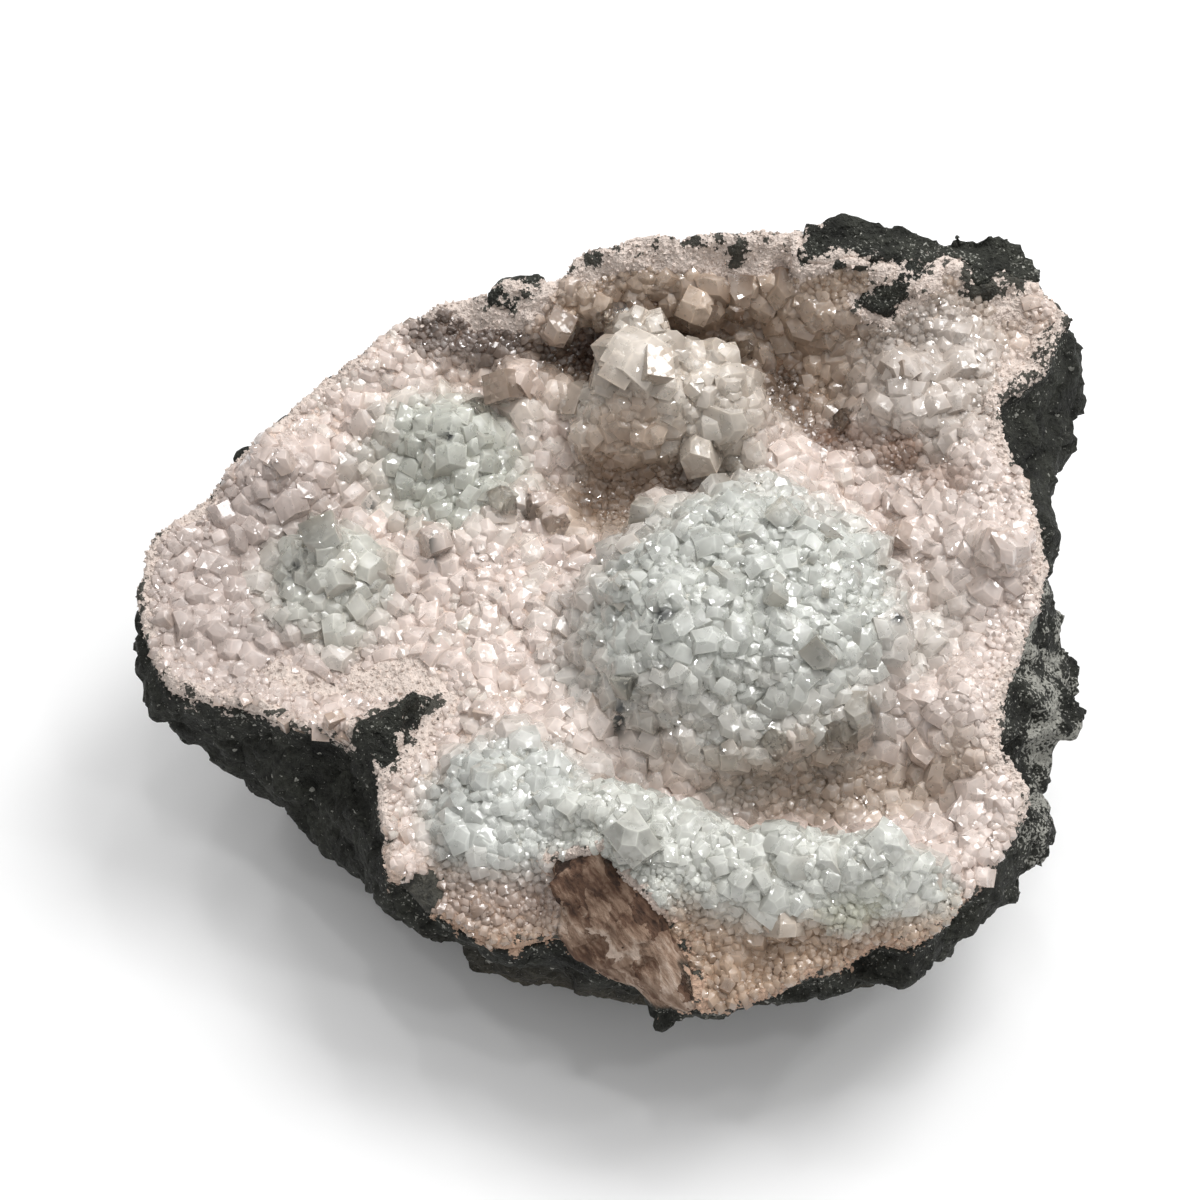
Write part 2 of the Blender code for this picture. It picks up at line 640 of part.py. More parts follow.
def swollen_copy(piece, name):
    """A copy of a block whose faces stand POCKET_GAP further out, to cut the crust with."""
    bm = bmesh.new()
    bm.from_mesh(piece.data)
    shifts = [vert.normal * vert.calc_shell_factor() * POCKET_GAP * MM for vert in bm.verts]
    for vert, shift in zip(bm.verts, shifts):
        vert.co += shift
    return finish_object(name, bm, piece.data.materials[0])


def crystal_object(name, hollow, spec, material):
    """A tetragonal crystal: a square prism with a four-sided point, cut off flat."""
    x, y, width, length, lean, azimuth, twist, point = spec
    foot = Vector(hollow.crust(np.array([(x, y)], float))[0])
    half = width / math.sqrt(2.0)
    neck = half * (BLUNT_NECK if point < BLUNT_POINT else 1.0 - point)
    levels = ((-CRYSTAL_ROOT, half), (length * (1.0 - point), half), (length, neck))
    towards = Vector((math.cos(math.radians(azimuth)), math.sin(math.radians(azimuth)), 0.0))
    tilt = Matrix.Rotation(math.radians(lean), 3, Vector((0, 0, 1)).cross(towards))
    points = []
    for height, radius in levels:
        for corner in range(4):
            angle = math.radians(twist + 90 * corner)
            spot = Vector((radius * math.cos(angle), radius * math.sin(angle), height))
            points.append(tilt @ spot + foot)
    return hull_object(name, points, material)


def guide_group(name, pieces):
    """A collection of objects that are kept only for a Boolean."""
    group = bpy.data.collections.new(name)
    bpy.context.scene.collection.children.link(group)
    for piece in pieces:
        piece.hide_render = True
        piece.display_type = "WIRE"
        bpy.context.collection.objects.unlink(piece)
        group.objects.link(piece)
    return group


def combine(target, group, operation, crossing=False):
    """Join or cut an object with a group of others."""
    modifier = target.modifiers.new(f"{operation.lower()}_{group.name}", "BOOLEAN")
    modifier.operation = operation
    modifier.solver = "EXACT"
    modifier.operand_type = "COLLECTION"
    modifier.collection = group
    modifier.use_self = crossing


def main_body(bm):
    """The largest set of faces that hang together along whole edges."""
    waiting = set(bm.faces)
    largest = set()
    while waiting:
        front = [waiting.pop()]
        body = set(front)
        while front:
            face = front.pop()
            for edge in face.edges:
                for other in edge.link_faces if edge.is_manifold else ():
                    if other in waiting:
                        waiting.remove(other)
                        body.add(other)
                        front.append(other)
        if len(body) > len(largest):
            largest = body
    return largest


def settle(piece):
    """Apply an object's Booleans, and drop the loose chips that they leave."""
    graph = bpy.context.evaluated_depsgraph_get()
    mesh = bpy.data.meshes.new_from_object(piece.evaluated_get(graph))
    piece.modifiers.clear()
    bm = bmesh.new()
    bm.from_mesh(mesh)
    bmesh.ops.triangulate(bm, faces=bm.faces[:])
    kept = main_body(bm)
    chips = [face for face in bm.faces if face not in kept]
    bmesh.ops.delete(bm, geom=chips, context="FACES")
    bm.to_mesh(piece.data)
    bm.free()
    bpy.data.meshes.remove(mesh)


def stand_on_origin(pieces):
    """Hang the pieces on an empty that brings the middle of their box's base to the origin."""
    corners = np.array([vert.co for piece in pieces for vert in piece.data.vertices])
    low, high = corners.min(axis=0), corners.max(axis=0)
    stone = bpy.data.objects.new("geode", None)
    bpy.context.scene.collection.objects.link(stone)
    stone.location = (-(low[0] + high[0]) / 2, -(low[1] + high[1]) / 2, -low[2])
    for piece in pieces:
        piece.parent = stone


def remove_objects():
    """Empty the scene."""
    for thing in list(bpy.data.objects):
        bpy.data.objects.remove(thing, do_unlink=True)


def main():
    """Build both pieces and stand them on the origin."""
    remove_objects()
    basalt = make_material("basalt", (0.055, 0.060, 0.058), 0.85)
    crystal = make_material("apophyllite", (0.78, 0.74, 0.68), 0.2)
    hollow = Hollow()
    matrix = build_matrix(hollow, basalt)
    crust = build_crust(hollow, crystal)
    singles = [crystal_object(f"single_crystal_{number}", hollow, spec, crystal)
               for number, spec in enumerate(CRYSTALS)]
    blocks = []
    for name, (face, step) in BLOCKS.items():
        middle = np.mean(face, axis=0)
        far_side = middle + (np.array(face) - middle) * BLOCK_TAPER + np.array(step)
        blocks.append(hull_object(f"block_{name}", [*face, *far_side], basalt))
    pockets = [swollen_copy(block, f"pocket_{block.name}") for block in blocks]
    combine(crust, guide_group("single_crystals", singles), "UNION", crossing=True)
    combine(crust, guide_group("pockets", pockets), "DIFFERENCE")
    combine(matrix, guide_group("blocks", blocks), "UNION", crossing=True)
    settle(matrix)
    settle(crust)
    stand_on_origin([matrix, crust])


main()
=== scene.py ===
"""Looks of an apophyllite geode: broken basalt, a druse of intergrown crystals and a plain studio.

Lengths are in millimetres until a mesh is written. Plan places are given in the row's frame, with
+X to the right and -Y towards the open front.
"""

import math
from functools import cache

import bmesh
import bpy
import numpy as np
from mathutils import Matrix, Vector, bvhtree, kdtree


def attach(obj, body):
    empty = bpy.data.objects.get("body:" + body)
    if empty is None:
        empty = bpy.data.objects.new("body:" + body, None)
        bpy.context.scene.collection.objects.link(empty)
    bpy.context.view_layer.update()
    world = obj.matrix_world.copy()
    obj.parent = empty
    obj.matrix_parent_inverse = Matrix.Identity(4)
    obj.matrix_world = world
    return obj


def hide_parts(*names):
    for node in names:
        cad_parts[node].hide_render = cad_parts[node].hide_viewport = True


bl_info = {
    "name": "Apophyllite geode",
    "version": (1, 0, 0),
    "blender": (4, 5, 0),
    "location": "View3D > Sidebar > Geode",
    "description": "Grows the crystals of a geode and breaks its basalt around a fixed frame",
    "category": "Object",
}

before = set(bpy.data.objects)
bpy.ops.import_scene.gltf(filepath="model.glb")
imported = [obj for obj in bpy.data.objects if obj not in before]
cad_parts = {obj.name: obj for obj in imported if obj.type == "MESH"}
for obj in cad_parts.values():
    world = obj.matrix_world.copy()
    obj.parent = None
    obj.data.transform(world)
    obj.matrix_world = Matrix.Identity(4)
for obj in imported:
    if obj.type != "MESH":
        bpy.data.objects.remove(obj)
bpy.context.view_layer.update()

MM = 0.001
SEED = 7
COVERED = 0.42              # share of a crystal's width within which it covers smaller ones
BODY_GLOW = 0.8             # how far a milky crystal is lit as part of the druse, not by its own faces
MERGE = 0.00001             # metres within which the frame's loose triangles are joined

# The druse's ground
WIDEST = 10.0               # greatest width of a crystal that isn't set singly
GROUND_VOXEL = 1.5          # cell of the ground's mesh
WARP = 1.8                  # greatest shift of the shared warp along an axis, its broad wave alone
SEAM = 1.2                  # how far both solids swell where they meet, to close the groove
SEAM_REACH = 2.2            # the crust's points closer to the basalt than this lie at the seam,
SEAM_FACING = 0.35          # if the basalt lies beside them and not below: cosine to their normal
GROUND_ROUNDS = 26          # rounds of smoothing that take the frame's coarse crystals off
GROUND_SINK = 2.4           # depth the ground is lowered by, to make room for the crystals on it
SKY_REACH = 60.0            # length of the rays that look for open sky
SKY_RAYS = 12               # rays from each point
BASALT_VOXEL = 1.6          # cell of the basalt's mesh
RIND = 5.0                  # width of the chalky rind along the rim

# Zones of the druse: name, x, y, half sizes along X and Y, colour of the tips, of the roots, and clarity;
# the roots' colour is darker as painted shade between the crystals
ZONES = (
    ("pale lobe", -112, 10, 44, 44, "#CBBBB3", "#B7A498", 0.11),
    ("pink flat", 100, -20, 42, 80, "#E2D2C9", "#CBB6A9", 0.11),
    ("beige wall", 45, 92, 100, 26, "#D3BBA5", "#89694E", 0.20),
    ("beige dome", 16, 64, 36, 25, "#E4D9CC", "#D8C8B7", 0.17),
    ("shadowed trough", -2, 42, 22, 16, "#D2BCA8", "#A98E76", 0.15),
    ("front trough", 70, -52, 36, 11, "#DFCCBB", "#BBA18A", 0.17),
    ("pale dome", 97, 70, 30, 28, "#D0C4BA", "#B5A190", 0.14),
    ("large dome", 37, -8, 54, 50, "#DADCD5", "#C0BDB1", 0.16),
    ("left mound", -88, 14, 24, 21, "#DAD9CF", "#B4AD9F", 0.15),
    ("upper mound", -54, 52, 27, 24, "#D8D9CE", "#B8B2A4", 0.17),
    ("front mound", -32, -62, 27, 24, "#D3D5CF", "#B6B2A7", 0.12),
)
# The pale ridge behind the front rim, and the peach face below it
RIDGE = ((-2, -74), (12, -82), (32, -88), (54, -91), (78, -96))
RIDGE_HALF = 17
# Each as tip colour, root colour, darker as painted shade between the crystals, and clarity
RIDGE_COLOURS = ("#DBDCD4", "#C2BEB2", 0.12)
PEACH_COLOURS = ("#BFA48C", "#93765F", 0.12)
DRUSE_COLOURS = ("#EFDDD3", "#CDB5A3", 0.14)
RIND_COLOUR = "#DDCEC4"
WARM_RIND = "#C3A48E"       # the same chalk along the front
CHALK_FALL = 0.036          # loss of the chalk's cover per millimetre outwards

# Broad chalky rind: the middle and half sizes of ovals, and how much wider the rind gets there
BROAD_RIND = (((-84, -13), (34, 13), 20.0), ((18, 104), (52, 9), 8.0), ((122, 82), (10, 20), 8.0),
              ((-46, -52), (7, 20), 4.0))

# Painted shade in recesses and cracks: a line's two ends, its reach, the colour and the share of it
RECESS_SHADES = (
    ((-58, 91, 124), (-9, 90, 116), 11, "#4A3324", 0.85),
    ((-9, 90, 116), (22, 84, 112), 9, "#5A4030", 0.7),
    ((52, 84, 110), (66, 64, 106), 10, "#664A36", 0.7),
    ((66, 64, 106), (87, 51, 110), 8, "#7B5A45", 0.65),
    ((87, 51, 110), (102, 34, 116), 7, "#8F6C56", 0.5),
    ((-6, 46, 93), (18, 44, 97), 12, "#75573F", 0.6),
    ((40, -54, 79), (68, -51, 80), 10, "#8A7058", 0.4),
    ((58, -104, 89), (68, -103, 89), 9, "#9C9A72", 0.45),
    ((-52, -84, 72), (-26, -88, 72), 10, "#7E6048", 0.6),
)

# Places in the crust where the bare basalt shows: a middle, and its reach
BARE_ROCK = (((-57.5, -85.2, 73.0), 7.5), ((112.7, 91.1, 138.8), 4.5), ((74.3, 92.4, 145.9), 3.0),
             ((67.6, 94.4, 146.2), 2.6))

# How many spots are tried for each kind, and how near two may stand, in mean widths
LARGE_TRIES, LARGE_SPACE = 26000, 0.50
SMALL_TRIES, SMALL_SPACE = 60000, 0.7
GRAIN_TRIES, GRAIN_SPACE = 50000, 1.15

# Painted dark glints in the crystals, dark reflections: plan places, and their reach
DARK_GLINTS = ((10.6, -22.7), (12.5, -22.8), (-0.1, -36.4), (79.2, -17.8), (71.0, -42.0), (-52.7, 54.4),
               (-77.7, 43.0), (-57.4, 20.7), (-36.7, 10.0), (-97.7, 13.7))
DARK_GLINT_REACH = 2.6

# Plan ovals, by middle and half sizes: the large dome, its region of crystals, the mound at the front
# and the beige dome with its finer crystals
DOME = ((37, -8), (52, 49))
DOME_REGION = ((37, -8), (56, 54))
FRONT_MOUND = ((-32, -62), (27, 24))
BEIGE_DOME = ((16, 64), (40, 28))

# Lobes of the large dome: x, y and reach along the plan, with the height of their swell
LOBES = ((37, 13, 21), (14, -24, 23), (62, -19, 24))
LOBE_SWELL = 5.0

# Large single crystals: x, y, width, length, lean towards an azimuth, twist, flat top's share
HEROES = (
    (6, 63, 18, 7, 14, -100, 52, 0.50),
    (-30, 69, 13, 7, 16, -70, 40, 0.45),
    (3, -85, 13, 8, 30, -100, 35, 0.60),
    (24, 91, 11, 8, 50, -80, 60, 0.25),
    (112, 4, 11, 5, 16, 160, 30, 0.60),
    (90, 20, 10, 5, 18, -160, 10, 0.55),
    (-86, 11, 12, 6, 12, -90, 25, 0.40),
    (-52, 52, 12, 6, 10, -90, 0, 0.40),
    (-102, 38, 12, 6, 14, -60, 30, 0.35),
    (72, -86, 10, 6, 30, -80, 45, 0.60),
    (88, 72, 11, 6, 20, -90, 35, 0.50),
    (104, 62, 9, 5, 20, -60, 5, 0.45),
)

# Clear crystals, in the same terms
CLEAR_POINTS = (
    (-36, 36, 9, 6, 24, -60, 15, 0.30),
    (-27, 39, 8, 6, 24, -120, 50, 0.30),
    (-19, 33, 9, 6, 22, -90, 30, 0.30),
    (-1, 90, 11, 8, 50, -100, 10, 0.30),
    (38, 92, 10, 7, 50, -95, 25, 0.30),
    (72, 66, 9, 6, 30, -120, 20, 0.30),
    (62, -46, 11, 6, 24, -70, 10, 0.30),
    (44, -50, 8, 6, 30, -90, 40, 0.30),
    (-44, 66, 9, 6, 20, -80, 20, 0.40),
)

# The brown cleaved slab: the corners of its face as X and Z, and the way its layers run
SLAB = ((-9, 93), (10, 86), (22, 65), (5, 60), (-17, 69), (-21, 86))
SLAB_RUN = (0.58, -0.64, -0.50)
SLAB_TONES = ((0.38, "#33241C"), (0.47, "#62493A"), (0.56, "#937B69"), (0.66, "#C9B5A6"))

USUAL = (0.3, 0.7)          # where most values of a noise texture lie
LATTICE_TURN = (0.6, 0.4, 0.9)
RECESS_SHADE_TIP = 1.15            # how much lighter the painted shade of recesses and cracks is on the crystals' tips
BRIGHTEST = 0.94            # no crystal is paler than this

# Camera: middle of the view, distance, elevation, focal length and sensor
VIEW_CENTRE = (-5.85, 4.31, 95.0)
VIEW_DISTANCE = 640.0
VIEW_ELEVATION = 50.0
LENS = 64.0
SENSOR = 36.0

# Studio, in metres and watts: a large soft light above and behind, and small lights for glints
LIGHT_AIM = (0.0, 0.0, 0.08)
KEY_PLACE = (0.40, 0.22, 1.05)
KEY_SIZE = 0.42
FILL_PLACE = (0.25, 0.35, 1.3)
FILL_SIZE = 1.6
FRONT_PLACE = (0.35, -0.9, 0.65)
FRONT_SIZE = 0.9
SPARKS = ((0.35, -0.35, 0.9), (-0.6, 0.1, 0.9), (-0.1, 0.9, 0.7), (0.8, 0.3, 0.6), (0.0, -0.1, 1.1),
          (-0.5, 0.8, 0.9), (0.5, 0.9, 0.5), (0.1, 0.5, 1.1), (-0.3, 0.4, 1.0), (0.6, -0.1, 1.0))
SPARK_SIZE = 0.06
SPARK_POWER = 0.5
LOW_SKY = 0.12              # strength of the studio's walls next to the floor
FLOOR_HALF = 6000.0         # half the side of the floor, in millimetres


def linear(code):
    """Linear colour of an sRGB hex code."""
    values = np.array([int(code[i:i + 2], 16) for i in (1, 3, 5)]) / 255.0
    return tuple(np.where(values <= 0.04045, values / 12.92, ((values + 0.055) / 1.055) ** 2.4))


def opaque(code):
    """Linear colour of an sRGB hex code, with full alpha."""
    return (*linear(code), 1.0)


def lattice_random(cells, seed):
    """A random number from 0 to 1 for each whole-numbered cell: products of its indices with large
    primes, mixed bit by bit."""
    cells = cells.astype(np.int64).astype(np.uint64)
    mixed = cells[..., 0] * np.uint64(73856093) ^ cells[..., 1] * np.uint64(19349663)
    mixed = mixed ^ cells[..., 2] * np.uint64(83492791) ^ np.uint64(seed * 7919 + 17)
    for shift in (15, 13, 16):
        mixed = (mixed ^ (mixed >> np.uint64(shift))) * np.uint64(0x9E3779B1)
        mixed &= np.uint64(0xFFFFFFFFFFFF)
    return ((mixed >> np.uint64(12)) & np.uint64(0xFFFFFF)).astype(float) / 0xFFFFFF


def soft_noise(points, wavelength, seed):
    """Smooth noise from -1 to 1: random numbers at the corners of a cubic lattice, blended inside
    each cube with 3t^2 - 2t^3 of the place t within it."""
    scaled = points / wavelength
    low = np.floor(scaled).astype(np.int64)
    t = scaled - low
    t = t * t * (3.0 - 2.0 * t)
    total = 0.0
    for corner in np.ndindex(2, 2, 2):
        corner = np.array(corner)
        total = total + np.prod(np.where(corner, t, 1.0 - t), axis=-1) * lattice_random(low + corner, seed)
    return 2.0 * total - 1.0


def patch_noise(points, size, seed):
    """Flat sloping patches: each point takes the nearest of one random seed per lattice cell, and the
    value is that seed's random slope times the way from the seed, over size. Also gives the distance
    to the nearest seed, the lead over the second nearest, and a random number of the seed's own."""
    scaled = points / size
    low = np.floor(scaled).astype(np.int64)
    nearest = np.full(len(points), 9.0)
    second = nearest.copy()
    value = np.zeros(len(points))
    own = np.zeros(len(points))
    for step in np.ndindex(3, 3, 3):
        cell = low + np.array(step) - 1
        place = np.stack([lattice_random(cell, seed + k) for k in range(3)], axis=-1)
        slope = np.stack([lattice_random(cell, seed + 3 + k) for k in range(3)], axis=-1) - 0.5
        away = scaled - cell - place
        distance = np.linalg.norm(away, axis=-1)
        closer = distance < nearest
        second = np.where(closer, nearest, np.minimum(second, distance))
        value = np.where(closer, np.sum(slope * away, axis=-1), value)
        own = np.where(closer, place[:, 0], own)
        nearest = np.where(closer, distance, nearest)
    return value, nearest, second - nearest, own


def ramp(value, start, end):
    """Smooth step from 0 at start to 1 at end."""
    t = np.clip((value - start) / (end - start), 0.0, 1.0)
    return t * t * (3.0 - 2.0 * t)


def fall(value, start, end):
    """Smooth step from 1 at start to 0 at end."""
    return 1.0 - ramp(value, start, end)


def blended(colours, others, share):
    """Colours taken a share of the way to others."""
    return colours + (np.asarray(others) - colours) * share[:, None]


def unit(vectors):
    """Vectors brought to a length of one."""
    return vectors / np.maximum(np.linalg.norm(vectors, axis=-1, keepdims=True), 1e-9)


def oval(points, middle, half):
    """How far out each point lies in a plan oval: 0 in the middle and 1 on its outline."""
    return np.hypot((points[:, 0] - middle[0]) / half[0], (points[:, 1] - middle[1]) / half[1])


def surface_tree(points, faces):
    """Search tree of a surface."""
    return bvhtree.BVHTree.FromPolygons(points.tolist(), faces.tolist())


def point_tree(points):
    """Search tree of points."""
    tree = kdtree.KDTree(len(points))
    for index, point in enumerate(points.tolist()):
        tree.insert(point, index)
    tree.balance()
    return tree


def merged_node(name):
    """A CAD node's mesh with its loose triangles joined: points in mm, and triangles."""
    bm = bmesh.new()
    bm.from_mesh(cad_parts[name].data)
    bmesh.ops.remove_doubles(bm, verts=bm.verts[:], dist=MERGE)
    bmesh.ops.triangulate(bm, faces=bm.faces[:])
    points = np.array([vert.co for vert in bm.verts]) / MM
    faces = np.array([[vert.index for vert in face.verts] for face in bm.faces])
    bm.free()
    return points, faces


def new_mesh(name, points, corners, sizes, flat=True):
    """A mesh from points in mm, the faces' corner indices in a row, and each face's number of corners.
    Its faces are shaded flat, or else as one smooth surface."""
    mesh = bpy.data.meshes.new(name)
    mesh.vertices.add(len(points))
    mesh.vertices.foreach_set("co", (points * MM).astype(np.float32).ravel())
    mesh.loops.add(len(corners))
    mesh.loops.foreach_set("vertex_index", corners.astype(np.int32))
    mesh.polygons.add(len(sizes))
    mesh.polygons.foreach_set("loop_start", (np.cumsum(sizes) - sizes).astype(np.int32))
    mesh.update(calc_edges=True)
    if flat:
        mesh.shade_flat()
    else:
        mesh.shade_smooth()
    return mesh


def new_piece(name, mesh, material):
    """An object of the geode, which rides on the one body."""
    mesh.materials.append(material)
    piece = bpy.data.objects.new(name, mesh)
    bpy.context.scene.collection.objects.link(piece)
    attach(piece, "root")
    return piece


def remeshed(points, faces, voxel):
    """The closed surface around a closed mesh, rebuilt from quads of an even size."""
    mesh = new_mesh("rough", points, faces.ravel(), np.full(len(faces), 3))
    rough = bpy.data.objects.new("rough", mesh)
    bpy.context.scene.collection.objects.link(rough)
    modifier = rough.modifiers.new("voxels", "REMESH")
    modifier.mode = "VOXEL"
    modifier.voxel_size = voxel * MM
    graph = bpy.context.evaluated_depsgraph_get()
    fine = bpy.data.meshes.new_from_object(rough.evaluated_get(graph))
    co = np.empty(len(fine.vertices) * 3, np.float32)
    fine.vertices.foreach_get("co", co)
    corners = np.empty(len(fine.loops), np.int32)
    fine.loops.foreach_get("vertex_index", corners)
    bpy.data.objects.remove(rough)
    bpy.data.meshes.remove(mesh)
    bpy.data.meshes.remove(fine)
    return co.reshape(-1, 3).astype(float) / MM, corners.reshape(-1, 4)


def sum_at(indices, values, count):
    """Sums of rows of values, gathered by index."""
    return np.stack([np.bincount(indices, column, count) for column in values.T], axis=1)


def smoothed(points, quads, rounds):
    """Points moved halfway to the mean of their neighbours along the quads' sides, in rounds."""
    start, end = quads.ravel(), np.roll(quads, -1, axis=1).ravel()
    degree = np.bincount(start, minlength=len(points)) + np.bincount(end, minlength=len(points))
    for _ in range(rounds):
        total = sum_at(start, points[end], len(points)) + sum_at(end, points[start], len(points))
        points = 0.5 * (points + total / degree[:, None])
    return points


def quad_areas(corners):
    """Twice each quad's area, along its normal: the cross product of its diagonals."""
    return np.cross(corners[:, 2] - corners[:, 0], corners[:, 3] - corners[:, 1])


def corner_normals(points, quads):
    """Each point's outward direction: the mean of its quads' areas along their normals."""
    return unit(sum_at(quads.ravel(), np.repeat(quad_areas(points[quads]), 4, axis=0), len(points)))


def seam_distance(points, chosen):
    """Distance from each point to the nearest of the chosen ones."""
    tree = point_tree(points[chosen])
    return np.array([tree.find(point)[2] for point in points.tolist()])


def distance_to(tree, points):
    """Distance from each point to the surface in a tree."""
    return np.array([tree.find_nearest(point)[3] for point in points.tolist()])


def openness(points, normals, tree, reach, seed):
    """Share of rays, each the normal plus a random vector of near its length, that leave a point
    without meeting the surface in a tree within reach."""
    rng = np.random.default_rng(seed)
    rays = unit(rng.normal(size=(SKY_RAYS, 3)))
    total = np.zeros(len(points))
    for ray in rays:
        turned = unit(normals + 0.95 * ray)
        starts = points + normals * 2.0
        hits = [tree.ray_cast(start, way, reach)[0] is None
                for start, way in zip(starts.tolist(), turned.tolist())]
        total += np.array(hits, float)
    return total / len(rays)


def dome_share(points):
    """How far each point belongs to the large dome: 1 inside its oval and 0 well outside."""
    return fall(oval(points, *DOME), 0.75, 1.0)


def ridge_gap(points):
    """Distance along the plan from each point to the line of the pale ridge."""
    line = np.array(RIDGE, float)
    gaps = [line_distance(points[:, :2], start, end) for start, end in zip(line[:-1], line[1:])]
    return np.min(gaps, axis=0)


def fine_share(points):
    """How far each point belongs to the fine-grained pale parts: the large dome, the mound at the
    front and the ridge."""
    mound = fall(oval(points, *FRONT_MOUND), 0.8, 1.1)
    ridge = fall(ridge_gap(points) / RIDGE_HALF, 0.8, 1.2)
    return np.maximum(dome_share(points), np.maximum(mound, ridge))


def warped(points):
    """Points shifted by smooth noise along each axis, in a broad and a narrow wave, but for those at
    the flat foot. Neighbouring solids shift alike, so they stay in touch."""
    broad = [soft_noise(points, 10.0, 101 + k) for k in range(3)]
    narrow = [soft_noise(points, 4.0, 111 + k) for k in range(3)]
    shift = WARP * (np.stack(broad, axis=1) + 0.45 * np.stack(narrow, axis=1))
    return points + shift * ramp(points[:, 2], 1.0, 8.0)[:, None]


@cache
def ground():
    """The druse's ground: the frame's crust, rebuilt from small quads and smoothed until its coarse
    crystals are gone, but for the seam, which keeps its place and swells. With each point's outward
    direction, distance to the basalt and to the seam, share of open sky and share of rind."""
    points, faces = merged_node("crystal_crust")
    points, quads = remeshed(points, faces, GROUND_VOXEL)
    points = smoothed(points, quads, 3)
    soft = smoothed(points, quads, GROUND_ROUNDS)
    rock = surface_tree(*merged_node("basalt_matrix"))
    found = [rock.find_nearest(point) for point in points.tolist()]
    away = np.array([item[3] for item in found])
    towards = np.array([item[0] for item in found]) - points
    facing = np.sum(towards * corner_normals(points, quads), axis=1) / np.maximum(away, 1e-6)
    inward = seam_distance(points, (away < SEAM_REACH) & (facing < SEAM_FACING))
    keep = fall(away, 3.0, 7.0)
    soft = warped(soft + (points - soft) * keep[:, None])
    normals = corner_normals(soft, quads)
    soft = soft + normals * (SEAM * fall(away, 1.0, 4.0))[:, None]
    lumps = 2.0 * soft_noise(soft, 21.0, 61) + 1.5 * soft_noise(soft, 9.0, 62) - GROUND_SINK
    swells = [np.exp(-(((soft[:, 0] - x) ** 2 + (soft[:, 1] - y) ** 2) / reach ** 2))
              for x, y, reach in LOBES]
    lumps = lumps + LOBE_SWELL * (np.max(swells, axis=0) - 0.55) * dome_share(soft)
    soft = soft + normals * (lumps * (1.0 - keep))[:, None]
    normals = corner_normals(soft, quads)
    sky = openness(soft, normals, surface_tree(soft, quads), SKY_REACH, SEED)
    sky = smoothed(sky[:, None], quads, 2)[:, 0]
    return {"points": soft, "quads": quads, "normals": normals, "away": away, "sky": sky,
            "inward": inward, "rind": rind_share(soft, inward)}


def rind_share(points, inward):
    """How far each point belongs to the chalky rind: 1 at the seam with the basalt and 0 beyond the
    rind's width, which is greater in the broad ovals and wavers with noise."""
    width = RIND + 2.5 * soft_noise(points, 11.0, 91)
    for middle, half, more in BROAD_RIND:
        width = width + more * fall(oval(points, middle, half), 0.5, 1.0)
    width = width * (1.0 - 0.5 * ramp(-points[:, 1], 62, 84))
    return fall(inward / width, 0.7, 1.15)


def chalk_share(points, inward):
    """How thick the chalk lies, from the signed distance into the crust: half at the seam, less out on
    the basalt, more inwards, and wavering."""
    corner = ramp(points[:, 0], 100, 118) * ramp(points[:, 1], 40, 60)
    thick = 0.5 + CHALK_FALL * inward + 0.07 * soft_noise(points, 16.0, 71) - 0.09 * corner
    return np.clip(thick, 0.0, 1.0) * (1.0 - rock_share(points))


def rock_share(points):
    """How far each point lies in a patch of bare basalt: 1 inside its wavering outline, 0 outside."""
    waver = 0.35 * soft_noise(points, 5.0, 141)
    shares = [fall(np.linalg.norm(points - np.array(middle), axis=1) / reach + waver, 0.8, 1.05)
              for middle, reach in BARE_ROCK]
    return np.max(shares, axis=0)


def warmth(points):
    """How far each point lies low on the front, where the chalk is tinged with peach."""
    return ramp(-points[:, 1], 66, 92) * fall(points[:, 2], 72, 92)


def rind_colours(points):
    """The chalk's colour at each point."""
    return blended(np.array(linear(RIND_COLOUR)), linear(WARM_RIND), warmth(points))


def line_distance(points, start, end):
    """Distance from each point to the straight line between two ends."""
    run = end - start
    t = np.clip(((points - start) @ run) / (run @ run), 0.0, 1.0)
    return np.linalg.norm(points - start - t[:, None] * run, axis=1)


def recess_shade_gaps(points):
    """The distance from the points to each line of painted shade, with its reach, colour and share."""
    for start, end, reach, code, most in RECESS_SHADES:
        yield line_distance(points, np.array(start, float), np.array(end, float)), reach, code, most


def druse_look(points):
    """Colours of tips and roots and the clarity at each point: the plain druse's, blended into each
    zone's over the outer part of its oval, whose outline wavers with noise, and into the ridge's, the
    front's and the painted shade of the recesses and cracks in turn. The roots' darker colours are
    painted shade between the crystals."""
    def look_of(tip, root, clear):
        return np.array([*linear(tip), *linear(root), clear])

    look = np.tile(look_of(*DRUSE_COLOURS), (len(points), 1))
    waver = 0.16 * soft_noise(points, 17.0, 11) + 0.12 * soft_noise(points, 7.0, 12)
    for _, x, y, half_x, half_y, *colours in ZONES:
        share = oval(points, (x, y), (half_x, half_y)) + waver
        look = blended(look, look_of(*colours), fall(share, 0.55, 1.22))
    look = blended(look, look_of(*RIDGE_COLOURS), fall(ridge_gap(points) / RIDGE_HALF + waver, 0.8, 1.1))
    front = ramp(-points[:, 1], 84, 100) * fall(points[:, 2] + 20 * waver, 76, 88)
    look = blended(look, look_of(*PEACH_COLOURS), front * fall(points[:, 0], 100, 115))
    tips, roots, clarity = look[:, :3], look[:, 3:6], look[:, 6]
    # Painted shade of the recesses and cracks, a little lighter on the tips
    for gap, reach, code, most in recess_shade_gaps(points):
        share = most * fall(gap / reach + waver, 0.35, 1.15)
        tips = blended(tips, np.array(linear(code)) * RECESS_SHADE_TIP, share)
        roots = blended(roots, linear(code), share)
    return tips, roots, clarity


